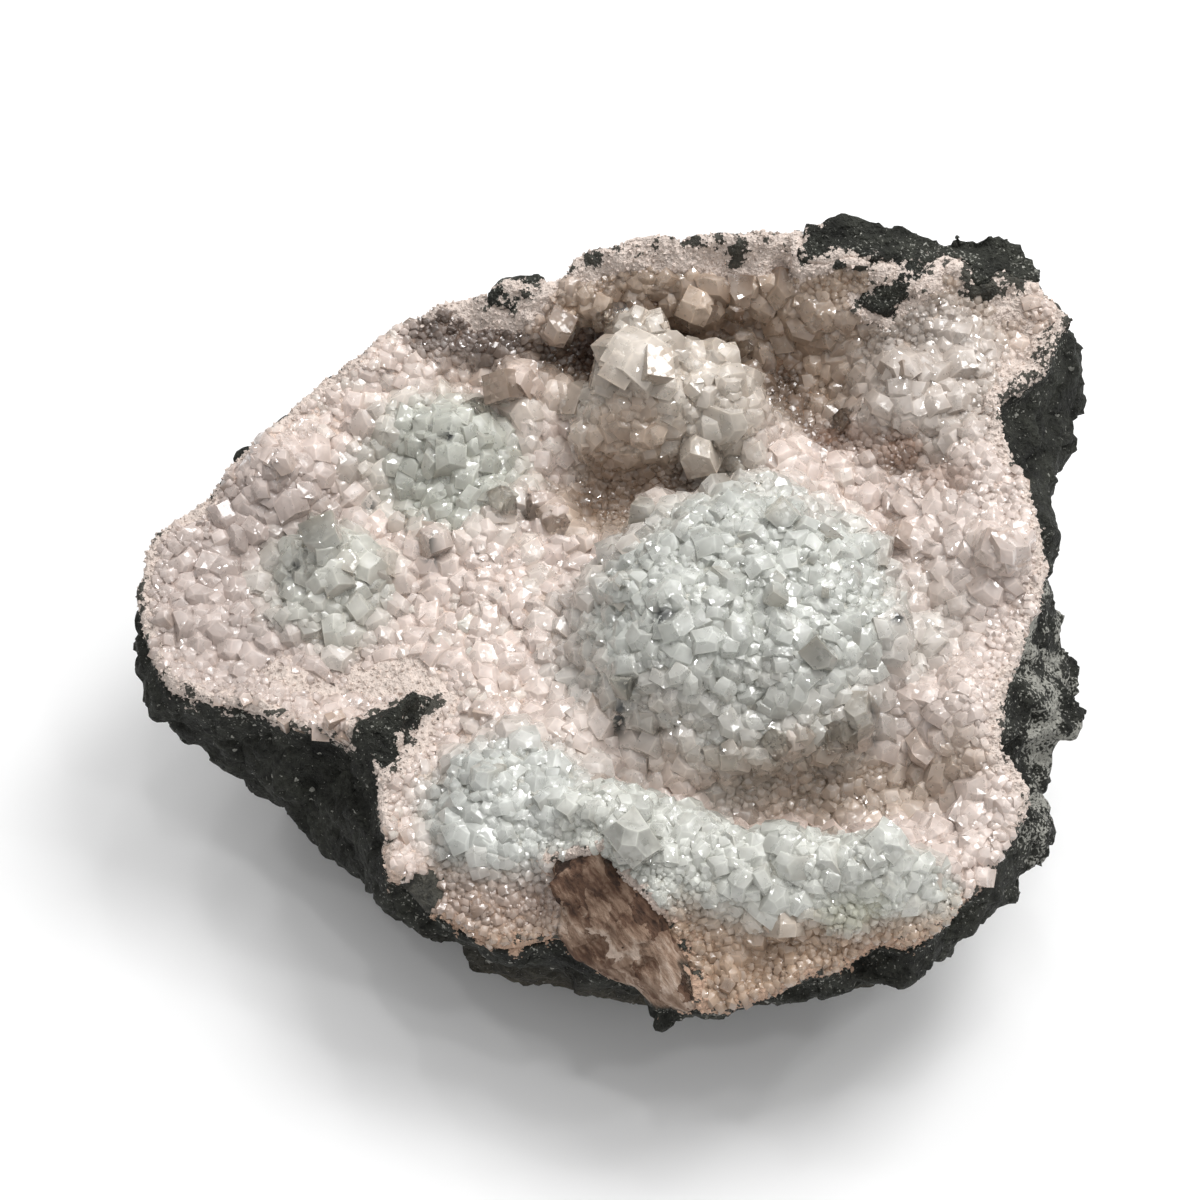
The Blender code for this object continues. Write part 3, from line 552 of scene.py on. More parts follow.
def scatter(land, shares, widths_at, count, seed, space, taken=None):
    """Places for crystals on a land of quads: random spots, each quad taken by its area times its
    share, from which the widest come first and drop every spot nearer than space times the mean of
    both widths. Spots under the middle of a taken crystal are left out."""
    rng = np.random.default_rng(seed)
    quads, points = land["quads"], land["points"]
    corners = points[quads]
    area = np.linalg.norm(quad_areas(corners), axis=1) * shares[quads].mean(axis=1)
    chosen = rng.choice(len(quads), count, p=area / area.sum())
    share = rng.uniform(size=(count, 2, 1))
    low = corners[chosen, 0] * (1 - share[:, 0]) + corners[chosen, 1] * share[:, 0]
    high = corners[chosen, 3] * (1 - share[:, 0]) + corners[chosen, 2] * share[:, 0]
    places = low * (1 - share[:, 1]) + high * share[:, 1]
    widths = widths_at(places, land["inward"][quads[chosen]].mean(axis=1), rng)
    order = np.argsort(-widths)
    places, widths, chosen = places[order], widths[order], chosen[order]
    tree = point_tree(places)
    alive = np.ones(count, bool)
    for place, width in zip(*(taken[key].tolist() for key in ("places", "widths"))) if taken else ():
        alive[[item[1] for item in tree.find_range(place, COVERED * width)]] = False
    kept = []
    for index, (place, width) in enumerate(zip(places.tolist(), widths.tolist())):
        if not alive[index]:
            continue
        kept.append(index)
        found = tree.find_range(place, space * width)
        near = np.array([item[1] for item in found])
        gaps = np.array([item[2] for item in found])
        alive[near[gaps < space * 0.5 * (width + widths[near])]] = False
    kept = np.array(kept)
    spots = {"places": places[kept], "widths": widths[kept]}
    for key in ("normals", "sky", "inward"):
        spots[key] = land[key][quads[chosen[kept]]].mean(axis=1)
    return spots


def frames_about(axes, twists):
    """For each axis, two directions across it, turned about it by its twist."""
    helper = np.where(np.abs(axes[:, 2:]) < 0.8, [[0.0, 0.0, 1.0]], [[1.0, 0.0, 0.0]])
    first = unit(np.cross(helper, axes))
    second = np.cross(axes, first)
    cos, sin = np.cos(twists)[:, None], np.sin(twists)[:, None]
    return first * cos + second * sin, second * cos - first * sin


def leaned(normals, amount, rng):
    """Directions near the normals: each gets a random vector of the given size added."""
    return unit(normals + rng.normal(size=normals.shape) * amount)


def crystal_shapes(feet, axes, twists, widths, depths, lengths, points_share, flats, flatness, shifts):
    """Apophyllite crystals as arrays. Each is a square prism whose pyramid faces cut its edges: the
    corners end lowest, the middles of the sides half as far below the apex, and a flat face cuts the
    apex off where the ridges have run the share 1 - flats of their way to it. The corners are then
    shifted by small shares of the width. Every face but the hidden bottom is a fan of triangles about
    its middle."""
    count = len(feet)
    square = np.array([(-0.5, -0.5), (0.5, -0.5), (0.5, 0.5), (-0.5, 0.5)])
    middles = np.array([(0.0, -0.5), (0.5, 0.0), (0.0, 0.5), (-0.5, 0.0)])
    corner_top = lengths * (1.0 - points_share)
    middle_top = (corner_top + lengths) / 2
    flat_top = middle_top + (lengths - middle_top) * (1.0 - flats)
    rings = np.broadcast_to(np.concatenate([square, square, middles]), (count, 12, 2))
    across = np.concatenate([rings, middles * flats[:, None, None]], axis=1) * widths[:, None, None]
    across = across * np.stack([np.ones(count), flatness], axis=1)[:, None, :]
    heights = np.repeat(np.stack([-depths, corner_top, middle_top, flat_top], axis=1), 4, axis=1)
    side, other = frames_about(axes, twists)
    points = feet[:, None] + across[..., :1] * side[:, None] + across[..., 1:] * other[:, None]
    points = points + heights[..., None] * axes[:, None] + shifts * widths[:, None, None]
    rims = [(12, 13, 14, 15)]
    for k in range(4):
        n = (k + 1) % 4
        rims.append((k, n, 4 + n, 8 + k, 4 + k))
        rims.append((4 + n, 8 + n, 12 + n, 12 + k, 8 + k))
    middles = [points[:, rim].mean(axis=1) for rim in rims]
    faces = [(3, 2, 1, 0)]
    for index, rim in enumerate(rims):
        faces += [(a, b, 16 + index) for a, b in zip(rim, rim[1:] + rim[:1])]
    return np.concatenate([points, np.stack(middles, axis=1)], axis=1), faces


def grain_shapes(feet, axes, twists, widths):
    """Grains as arrays: each is a double pyramid on a slightly oblong base, as high as half its width
    over the foot and as deep below."""
    side, other = frames_about(axes, twists)
    half = widths[:, None] / 2
    ring = [side * half, other * half * 0.8, -side * half, -other * half * 0.8]
    points = np.stack([feet + step for step in (*ring, axes * half, -axes * half)], axis=1)
    return points, [(k, (k + 1) % 4, 4) for k in range(4)] + [((k + 1) % 4, k, 5) for k in range(4)]


def step_share(points):
    """How strongly small growth faces break up each point's face: mostly little, in patches fully."""
    return 0.12 + 0.88 * ramp(soft_noise(points, 6.0, 151), -0.1, 0.6)


def dark_glint_share(points):
    """How near each point is to one of the painted dark glints, from 0 at their reach to 1."""
    gaps = [np.hypot(points[:, 0] - x, points[:, 1] - y) for x, y in DARK_GLINTS]
    return fall(np.min(gaps, axis=0) / DARK_GLINT_REACH, 0.7, 1.0)


def edges_of(count):
    """The share of an edge at each point of so many crystals: 1 on edges and 0 in the faces' middles."""
    return np.tile(np.repeat([1.0, 0.0], [16, 9]), count)


def outward_of(shapes, feet, normals):
    """Direction in which the body of a milky crystal shines at each of its points: about halfway
    between the ground's normal and the way from the crystal's foot."""
    return unit(unit(shapes - feet[:, None]) + 1.2 * normals[:, None]).reshape(-1, 3)


def crystal_mesh(name, points, faces):
    """One mesh of many equal shapes, each with the faces of the first."""
    count, per_shape = points.shape[:2]
    corners = np.concatenate([np.array(face) for face in faces])
    sizes = np.array([len(face) for face in faces])
    corners = (corners[None] + per_shape * np.arange(count)[:, None]).ravel()
    return new_mesh(name, points.reshape(-1, 3), corners, np.tile(sizes, count))


def paint(mesh, tints, outward=None, **shares):
    """Store a colour, named shares and perhaps an outward direction at each point of a mesh."""
    colours = np.concatenate([tints, np.ones((len(tints), 1))], axis=1)
    layer = mesh.attributes.new("tint", "FLOAT_COLOR", "POINT")
    layer.data.foreach_set("color", colours.astype(np.float32).ravel())
    if outward is not None:
        layer = mesh.attributes.new("outward", "FLOAT_VECTOR", "POINT")
        layer.data.foreach_set("vector", outward.astype(np.float32).ravel())
    for name, values in shares.items():
        layer = mesh.attributes.new(name, "FLOAT", "POINT")
        layer.data.foreach_set("value", values.astype(np.float32))


def fill(node, inputs):
    """Fill a node's sockets, in order or by name: another node's output is linked, and anything else
    is the socket's own value."""
    for socket, value in inputs.items() if isinstance(inputs, dict) else enumerate(inputs):
        if isinstance(value, bpy.types.NodeSocket):
            node.id_data.links.new(value, node.inputs[socket])
        else:
            node.inputs[socket].default_value = value


def add_node(tree, kind, inputs=(), out=0, **settings):
    """Add a shader node with its settings, fill its sockets, and give one of its outputs."""
    made = tree.nodes.new("ShaderNode" + kind)
    for key, value in settings.items():
        setattr(made, key, value)
    fill(made, inputs)
    return made.outputs[out]


def new_material(name):
    """A node material with its tree, its Principled shader and the place on the object."""
    material = bpy.data.materials.new(name)
    material.use_nodes = True
    tree = material.node_tree
    return material, tree, tree.nodes["Principled BSDF"], add_node(tree, "TexCoord", out="Object")


def scale_for(size):
    """Scale of a texture whose cells are so many millimetres wide."""
    return 1.0 / (size * MM)


def shaded(tree, colour, value, *ends):
    """A colour made darker and lighter by a value, whose range is taken to another one."""
    factor = add_node(tree, "MapRange", (value, *ends))
    return add_node(tree, "VectorMath", {0: colour, "Scale": factor}, operation="SCALE")


def small_faces(tree, place, size):
    """Height of a mosaic of small flat faces: in each cell of a turned cubic lattice, a random slope
    times the way from the cell's middle."""
    turned = add_node(tree, "VectorRotate", {"Vector": place, "Rotation": LATTICE_TURN},
                      rotation_type="EULER_XYZ")
    low = add_node(tree, "VectorMath", (turned, (size * MM,) * 3), operation="SNAP")
    middle = add_node(tree, "VectorMath", (low, (size * MM / 2,) * 3))
    cells = add_node(tree, "TexWhiteNoise", {"Vector": middle}, "Color")
    slope = add_node(tree, "VectorMath", (cells, (0.5,) * 3), operation="SUBTRACT")
    away = add_node(tree, "VectorMath", (turned, middle), operation="SUBTRACT")
    return add_node(tree, "VectorMath", (slope, away), "Value", operation="DOT_PRODUCT")


def apophyllite():
    """Apophyllite, grown: milky glassy crystals. Partly see-through, so light wanders between them;
    their pale tips and warm gaps are painted shade in the tint, their edges are painted lighter as a
    highlight, and a few dark specks are painted dark glints. Patches of small growth faces sparkle.
    The milky body is lit along the outward direction, but not where a face looks far away from it."""
    material, tree, shader, place = new_material("apophyllite_crystal")
    tint = add_node(tree, "Attribute", attribute_name="tint")
    clarity, edge, near, stepped = (add_node(tree, "Attribute", out="Fac", attribute_name=name)
                                    for name in ("clarity", "edge", "grains", "stepped"))
    veils = add_node(tree, "TexNoise", {"Vector": place, "Scale": scale_for(10 / 3), "Detail": 3.0})
    milky = shaded(tree, tint, veils, *USUAL, 0.88, 1.10)
    # Painted highlight: the crystals' edges lighter, the middles of their faces a little darker
    milky = shaded(tree, milky, edge, 0.80, 0.97, 0.96, 1.16)
    # Painted dark glints: dark specks where the "grains" share, near the listed dark glints, meets the
    # veils
    dark = add_node(tree, "MapRange", (veils, 0.47, 0.50, 0.0, 1.0))
    speck = add_node(tree, "Math", (near, dark), operation="MULTIPLY")
    specked = add_node(tree, "Mix", {0: speck, 6: milky, 7: opaque("#3A3D3A")}, 2, data_type="RGBA")
    bump = add_node(tree, "Bump", {"Height": small_faces(tree, place, 1.5), "Strength": stepped,
                                   "Distance": 1.0})
    outward = add_node(tree, "Attribute", out="Vector", attribute_name="outward")
    facet = add_node(tree, "NewGeometry", out="True Normal")
    aligned = add_node(tree, "VectorMath", (facet, outward), "Value", operation="DOT_PRODUCT")
    glow = add_node(tree, "MapRange", (aligned, 0.25, 0.75, 0.25, BODY_GLOW))
    body = add_node(tree, "Mix", {0: glow, 4: bump, 5: outward}, 1, data_type="VECTOR")
    fill(shader, {"Base Color": specked, "Transmission Weight": clarity, "IOR": 1.535,
                  "Roughness": add_node(tree, "MapRange", (veils, *USUAL, 0.22, 0.42)),
                  "Coat Weight": 1.0, "Coat Roughness": 0.06, "Coat IOR": 1.6, "Coat Normal": bump,
                  "Normal": add_node(tree, "VectorMath", (body,), operation="NORMALIZE")})
    return material


def clear_apophyllite():
    """Apophyllite, clear: water-clear crystals, faintly beige in the depth, with thin veils and the
    steps of small growth faces that catch the light."""
    material, tree, shader, place = new_material("clear_apophyllite")
    veils = add_node(tree, "TexNoise", {"Vector": place, "Scale": scale_for(25 / 6), "Detail": 4.0})
    veiled = add_node(tree, "MapRange", (veils, 0.45, 0.7, 0.0, 1.0))
    fill(shader, {"Base Color": add_node(tree, "Mix", {0: veiled, 6: opaque("#FBF8F3"),
                                                       7: opaque("#D9CFC2")}, 2, data_type="RGBA"),
                  "Roughness": add_node(tree, "MapRange", (veils, 0.4, 0.7, 0.03, 0.25)),
                  "Transmission Weight": 1.0, "IOR": 1.535,
                  "Normal": add_node(tree, "Bump", {"Height": small_faces(tree, place, 2.5),
                                                    "Strength": 0.6, "Distance": 1.0})})
    depth = add_node(tree, "VolumeAbsorption", {"Color": opaque("#E6D6C4"), "Density": 25.0})
    fill(tree.nodes["Material Output"], {"Volume": depth})
    return material


def chalk_cover(tree, place):
    """Where chalk covers the basalt: where noise in crumbs of a few millimetres stays below the
    chalk's thickness."""
    thick = add_node(tree, "Attribute", out="Fac", attribute_name="chalk")
    crumbs = add_node(tree, "TexNoise", {"Vector": place, "Scale": scale_for(100 / 21), "Detail": 4.0,
                                         "Roughness": 0.68})
    lead = add_node(tree, "Math", (thick, crumbs), operation="SUBTRACT")
    return add_node(tree, "MapRange", (lead, -0.015, 0.015, 0.0, 1.0))


def druse_base():
    """Chalky rind and fine-grained apophyllite: matte and sugary, with pits and grains of basalt."""
    material, tree, shader, place = new_material("sugary_druse")
    tint = add_node(tree, "Attribute", attribute_name="tint")
    grain = add_node(tree, "TexNoise", {"Vector": place, "Scale": scale_for(50 / 21), "Detail": 3.0,
                                        "Roughness": 0.65})
    chalk = shaded(tree, tint, grain, *USUAL, 0.80, 1.12)
    holes = add_node(tree, "TexVoronoi", {"Vector": place, "Scale": scale_for(50 / 19)})
    pit = add_node(tree, "MapRange", (holes, 0.10, 0.30, 0.14, 0.0))
    paler = add_node(tree, "MapRange", (grain, 0.35, 0.65, 0.0, 1.0))
    rock = add_node(tree, "Mix", {0: paler, 6: opaque("#22221D"), 7: opaque("#4A4840")}, 2,
                    data_type="RGBA")
    sunk = add_node(tree, "Math", (grain, pit), operation="SUBTRACT")
    fill(shader, {"Base Color": add_node(tree, "Mix", {0: chalk_cover(tree, place), 6: rock, 7: chalk}, 2,
                                         data_type="RGBA"),
                  "Roughness": 0.7,
                  "Normal": add_node(tree, "Bump", {"Height": sunk, "Strength": 0.9,
                                                    "Distance": 2.5 * MM})})
    return material


def slab_layers(tree, place):
    """The slab's layers: noise drawn out along them, half mixed with blocks of one tone each. Gives
    their tone and their colour, which is paler low down and darker high up, partly the slab's own dark
    brown and partly painted shade of the recess there."""
    run = Vector(SLAB_RUN).to_track_quat("Z", "Y").inverted().to_euler()
    turned = add_node(tree, "VectorRotate", {"Vector": place, "Rotation": run}, rotation_type="EULER_XYZ")
    drawn, squeezed = (add_node(tree, "Mapping", {"Vector": turned, "Scale": scale})
                       for scale in ((1.0, 0.7, 0.3), (1.0, 1.0, 0.6)))
    layers = add_node(tree, "TexNoise", {"Vector": drawn, "Scale": scale_for(50 / 21), "Detail": 5.0,
                                         "Roughness": 0.6})
    rough = add_node(tree, "TexNoise", {"Vector": place, "Scale": scale_for(10 / 3), "Detail": 4.0},
                     "Color")
    rough = add_node(tree, "VectorMath", {0: rough, "Scale": 6 * MM}, operation="SCALE")
    blocks = add_node(tree, "VectorMath", (squeezed, rough))
    blocks = add_node(tree, "TexVoronoi", {"Vector": blocks, "Scale": scale_for(5.0)}, "Color")
    blocks = add_node(tree, "MapRange", (add_node(tree, "SeparateColor", (blocks,)), 0.0, 1.0, 0.32, 0.74))
    layers = add_node(tree, "Mix", {0: 0.5, 2: layers, 3: blocks})
    height = add_node(tree, "SeparateXYZ", (place,), "Z")
    # Darker above about 80 mm: partly the slab's own dark brown, partly painted shade of the recess
    paler = add_node(tree, "MapRange", (height, 77 * MM, 81 * MM, 0.045, -0.06))
    colour = add_node(tree, "ValToRGB", (add_node(tree, "Math", (layers, paler), operation="ADD"),))
    stops = colour.node.color_ramp.elements
    for tone, code in SLAB_TONES:
        stops.new(tone).color = opaque(code)
    stops.remove(stops[0])
    stops.remove(stops[-1])
    return layers, colour


def basalt_finish():
    """Basalt, broken: near black, grey-green and matte, with fine pores, pale flecks of zeolite and
    a ragged crust of the rind's chalk near the rim. The brown slab in front is cleaved in layers."""
    material, tree, shader, place = new_material("broken_basalt")
    stone = add_node(tree, "Attribute", attribute_name="tint")
    mottle, slab, warm = (add_node(tree, "Attribute", out="Fac", attribute_name=name)
                          for name in ("clarity", "slab", "warm"))
    broad, fine, spots = (add_node(tree, "TexNoise", {"Vector": place, "Scale": scale_for(size),
                                                      "Detail": detail, "Roughness": rough})
                          for size, detail, rough in ((100 / 9, 5.0, 0.6), (25 / 13, 3.0, 0.6),
                                                      (10 / 11, 1.0, 0.5)))
    stone = shaded(tree, stone, broad, *USUAL, 0.45, 1.6)
    stone = shaded(tree, stone, fine, *USUAL, 0.55, 1.5)
    patches = add_node(tree, "MapRange", (broad, 0.42, 0.58, 0.2, 1.3))
    patchy = add_node(tree, "Math", (mottle, patches), operation="MULTIPLY")
    over = add_node(tree, "Math", (spots, patchy), operation="ADD")
    streaks = add_node(tree, "MapRange", (over, 0.70, 0.84, 0.0, 1.0))
    pores = add_node(tree, "TexVoronoi", {"Vector": place, "Scale": scale_for(50 / 13)})
    own = add_node(tree, "SeparateColor", (pores.node.outputs["Color"],))
    size = add_node(tree, "MapRange", (own, 0.6, 1.0, -0.05, 0.22))
    ragged = add_node(tree, "MapRange", (spots, *USUAL, -0.1, 0.1))
    round_off = add_node(tree, "Math", (pores, size), operation="SUBTRACT")
    round_off = add_node(tree, "Math", (round_off, ragged), operation="ADD")
    dot = add_node(tree, "MapRange", (round_off, -0.02, 0.02, 0.8, 0.0))
    fleck = add_node(tree, "Math", (streaks, dot), operation="MAXIMUM")
    flecked = add_node(tree, "Mix", {0: fleck, 6: stone, 7: opaque("#A6A59D")}, 2, data_type="RGBA")
    layers, bands = slab_layers(tree, place)
    slabbed = add_node(tree, "Mix", {0: slab, 6: flecked, 7: bands}, 2, data_type="RGBA")
    chalk = add_node(tree, "Mix", {0: warm, 6: opaque(RIND_COLOUR), 7: opaque(WARM_RIND)}, 2,
                     data_type="RGBA")
    chalk = shaded(tree, chalk, fine, *USUAL, 0.82, 1.1)
    relief = add_node(tree, "Math", (fine, broad), operation="ADD")
    relief = add_node(tree, "Mix", {0: slab, 2: relief, 3: layers})
    fill(shader, {"Base Color": add_node(tree, "Mix", {0: chalk_cover(tree, place), 6: slabbed, 7: chalk},
                                         2, data_type="RGBA"),
                  "Roughness": 0.75, "Specular IOR Level": 0.3,
                  "Normal": add_node(tree, "Bump", {"Height": relief, "Strength": 1.0,
                                                    "Distance": 3.5 * MM})})
    return material


class CrystalSettings(bpy.types.PropertyGroup):
    """Sizes of the druse's crystals."""

    large: bpy.props.FloatProperty(name="Large crystals", default=8.4, min=2.0, max=20.0,
                                   description="Width of the larger crystals, in millimetres")
    small: bpy.props.FloatProperty(name="Small crystals", default=2.8, min=1.0, max=8.0,
                                   description="Width of the crystals in the gaps, in millimetres")
    lean: bpy.props.FloatProperty(name="Lean", default=0.28, min=0.0, max=1.0, subtype="FACTOR",
                                  description="How far crystals lean off the ground's normal")


class BasaltSettings(bpy.types.PropertyGroup):
    """Breakage and colour of the basalt."""

    patch: bpy.props.FloatProperty(name="Patch depth", default=3.2, min=0.0, max=8.0,
                                   description="Depth of the broken patches, in millimetres")
    stone: bpy.props.FloatVectorProperty(name="Stone", subtype="COLOR", size=3,
                                         default=linear("#2A2B26"),
                                         description="Colour of the fresh rock")


class StudioSettings(bpy.types.PropertyGroup):
    """Light of the studio."""

    key: bpy.props.FloatProperty(name="Key light", default=5.7, min=0.0, unit="POWER",
                                 description="Power of the soft light above")
    fill: bpy.props.FloatProperty(name="Fill light", default=4.2, min=0.0, unit="POWER",
                                  description="Power of the broad light behind it")
    front: bpy.props.FloatProperty(name="Front light", default=1.2, min=0.0, unit="POWER",
                                   description="Power of the weak light beside the camera")
    sky: bpy.props.FloatProperty(name="Ceiling", default=0.54, min=0.0,
                                 description="Strength of the studio's pale ceiling")


def crystal_widths(places, inward, rng):
    """Width of each crystal: large on the plain druse, finer on the pale dome, mound and ridge and near
    the rim, times a random share, small more often than large."""
    large = bpy.context.scene.geode_crystals.large
    front = ramp(-places[:, 1], 80, 100)
    top = large * (1.0 - 0.24 * np.maximum(fine_share(places), front))
    top = top * (0.42 + 0.58 * ramp(inward, 3.0, 17.0))
    for gap, reach, _, _ in recess_shade_gaps(places):
        top = top * (0.55 + 0.45 * ramp(gap, 0.6 * reach, 1.4 * reach))
    top = top * (1.0 + 0.22 * soft_noise(places, 13.0, 131))
    top = top * (1.0 - 0.2 * fall(oval(places, *BEIGE_DOME), 0.8, 1.1))
    return np.minimum(top * (0.36 + 1.3 * rng.beta(1.0, 3.0, len(places))), WIDEST)


def small_widths(places, inward, rng):
    """Width of the small crystals in the gaps."""
    return bpy.context.scene.geode_crystals.small * rng.uniform(0.5, 1.2, len(places))


def grain_widths(places, inward, rng):
    """Width of the rind's grains."""
    return rng.uniform(0.6, 1.3, len(places)) * (1.0 + 0.9 * rng.beta(1.0, 4.0, len(places)))


def region_of(places):
    """Which piece a crystal belongs to, by its plan place."""
    x, y = places[:, 0], places[:, 1]
    dome = oval(places, *DOME_REGION) < 1.0
    names = np.where(x < -50, "left_lobe", np.where(y > 46, "back_wall", "right_flat"))
    names = np.where((y < -56) & (x > -62) & (x < 90), "front_ridge", names)
    names = np.where((x < -10) & (y <= 46) & (y >= -56) & (x >= -50), "middle", names)
    return np.where(dome & (y > -62), "large_dome", names)


def tint_crystals(spots, rng):
    """Colours and clarity of every point of each crystal: root colour below, tip colour above, each
    crystal a little lighter or darker, and darker where the ground sees little sky. The darker roots
    and the darkening where little sky is open are painted shade."""
    tips, roots, clarity = druse_look(spots["places"])
    count = len(tips)
    shade = rng.normal(1.0, 0.035, count)[:, None]
    # Painted shade: crystals whose ground sees little sky keep more of the root colour
    sky = ramp(spots["sky"], 0.05, 0.55)[:, None]
    tips = (roots + (tips - roots) * (0.35 + 0.65 * sky)) * shade
    below = roots * (0.8 + 0.2 * sky)
    between = (tips * 2 + roots) / 3
    tips = tips * 1.09
    whole = np.stack([below] * 4 + [between] * 4 + [tips] * 9 + [between, tips] * 4, axis=1)
    clear = 2.6 * clarity + rng.normal(0.0, 0.06, count)
    return np.clip(whole, 0.0, BRIGHTEST).reshape(-1, 3), np.repeat(np.clip(clear, 0.05, 0.9), 25)


def paint_crystals(mesh, tints, shapes, feet, normals, clarity):
    """Store all that the grown crystals' material reads."""
    points = shapes.reshape(-1, 3)
    paint(mesh, tints, outward_of(shapes, feet, normals), clarity=clarity, edge=edges_of(len(feet)),
          # the "grains" attribute holds the share of the painted dark glints
          grains=dark_glint_share(points), stepped=step_share(points))


def grow(prefix, spots, material, rng, tall):
    """Make the crystals of some spots, as one piece for each region."""
    regions = region_of(spots["places"])
    lean = bpy.context.scene.geode_crystals.lean
    for region in sorted(set(regions)):
        mine = regions == region
        part = {key: value[mine] for key, value in spots.items()}
        count = int(mine.sum())
        widths = part["widths"]
        axes = leaned(part["normals"], lean, rng)
        shapes, faces = crystal_shapes(
            part["places"], axes, rng.uniform(0, 2 * math.pi, count), widths,
            widths * 0.7 + 1.0, widths * (0.22 + 0.40 * rng.beta(1.3, 2.6, count)) * tall,
            rng.uniform(0.85, 1.6, count), rng.beta(1.0, 2.0, count) * 0.7 + 0.04,
            rng.uniform(0.6, 1.0, count), rng.normal(0.0, 0.035, (count, 16, 3)))
        mesh = crystal_mesh(f"{prefix}_{region}", shapes, faces)
        tints, clarity = tint_crystals(part, rng)
        paint_crystals(mesh, tints, shapes, part["places"], part["normals"], clarity)
        new_piece(f"{prefix}_{region}", mesh, material)


def slab_share(points):
    """How far each point lies on the slab's face: its least way into the polygon of corners, seen from
    the front, taken from 0 to 1."""
    corners = np.array(SLAB, float)
    inside = np.full(len(points), 99.0)
    for start, end in zip(corners, np.roll(corners, -1, axis=0)):
        across = np.array([end[1] - start[1], start[0] - end[0]])
        across /= np.linalg.norm(across)
        inside = np.minimum(inside, (points[:, [0, 2]] - start) @ across)
    inside = inside + 0.5 * soft_noise(points, 3.0, 81)
    return ramp(inside, -0.6, 0.6) * fall(points[:, 1], -84, -78)


class GEODE_OT_break_basalt(bpy.types.Operator):
    """Break the basalt's surface into patches and grain"""

    bl_idname = "geode.break_basalt"
    bl_label = "Break basalt"

    def execute(self, context):
        settings = context.scene.geode_basalt
        points, faces = merged_node("basalt_matrix")
        points, quads = remeshed(points, faces, BASALT_VOXEL)
        covered = distance_to(surface_tree(*merged_node("crystal_crust")), points)
        points = warped(points)
        normals = corner_normals(smoothed(points, quads, 4), quads)
        points = points + normals * (SEAM * fall(covered, 1.0, 4.0))[:, None]
        free = ramp(covered, 1.5, 7.0) * ramp(points[:, 2], 0.2, 4.0)
        broad, _, broad_lead, broad_own = patch_noise(points, 17.0, 21)
        small, _, lead, own = patch_noise(points, 6.5, 31)
        relief = settings.patch * (1.2 * broad + 0.55 * small) + 0.4 * soft_noise(points, 3.2, 5)
        relief = relief - 0.7 * fall(lead, 0.0, 0.15) - 0.8 * fall(broad_lead, 0.0, 0.1)
        points = points + normals * (relief * free - 0.25)[:, None]
        mesh = new_mesh("basalt_rock", points, quads.ravel(), np.full(len(quads), 4), flat=False)
        tints = np.tile(np.array(settings.stone), (len(points), 1))
        tints = tints * (0.7 + 0.35 * broad_own + 0.35 * own)[:, None]
        slab = slab_share(points)
        x, y, z = points.T
        tints = blended(tints, linear("#5A5040"), ramp(-y, 60, 110) * fall(z, 20, 60) * 0.5)
        right = ramp(x, 105, 125) * fall(y, 0, 30)
        near_rim = fall(covered, 1.0, 14.0)
        windows = ramp(x, 66, 76) * fall(x, 126, 132) * ramp(y, 84, 88)
        chalk = chalk_share(points, -covered * (1.0 + windows)) * (1.0 - slab)
        paint(mesh, tints, clarity=0.30 * right + 0.10 * near_rim, chalk=chalk, slab=slab,
              warm=warmth(points))
        piece = new_piece("basalt_rock", mesh, basalt_finish())
        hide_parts("basalt_matrix")
        return {"FINISHED"}


class GEODE_OT_lay_ground(bpy.types.Operator):
    """Lay the sugary ground that the crystals grow from, with the rind along the rim"""

    bl_idname = "geode.lay_ground"
    bl_label = "Lay druse ground"

    def execute(self, context):
        land = ground()
        points, normals = land["points"], land["normals"]
        grain, near, _, _ = patch_noise(points, 3.2, 41)
        top = ramp(land["away"], 1.0, 2.6)
        pits = fall(near, 0.15, 0.40)
        relief = 0.5 * soft_noise(points, 3.5, 42) + 1.1 * grain - 0.5 * pits
        points = points + normals * (relief * top)[:, None]
        mesh = new_mesh("druse_ground", points, land["quads"].ravel(), np.full(len(land["quads"]), 4),
                        flat=False)
        tips, roots, _ = druse_look(points)
        # Painted shade: the ground takes mostly the roots' darker colour, darker still where it sees
        # little sky
        sky = ramp(land["sky"], 0.10, 0.62)[:, None]
        tints = (0.6 * roots + 0.4 * tips) * (0.6 + 0.4 * sky)
        tints = blended(tints, rind_colours(points), land["rind"])
        # Painted shade in the rind's pits
        tints = tints * (1.0 - 0.25 * pits * land["rind"])[:, None]
        paint(mesh, tints, chalk=chalk_share(points, land["inward"]))
        piece = new_piece("druse_ground", mesh, druse_base())
        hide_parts("crystal_crust")
        return {"FINISHED"}


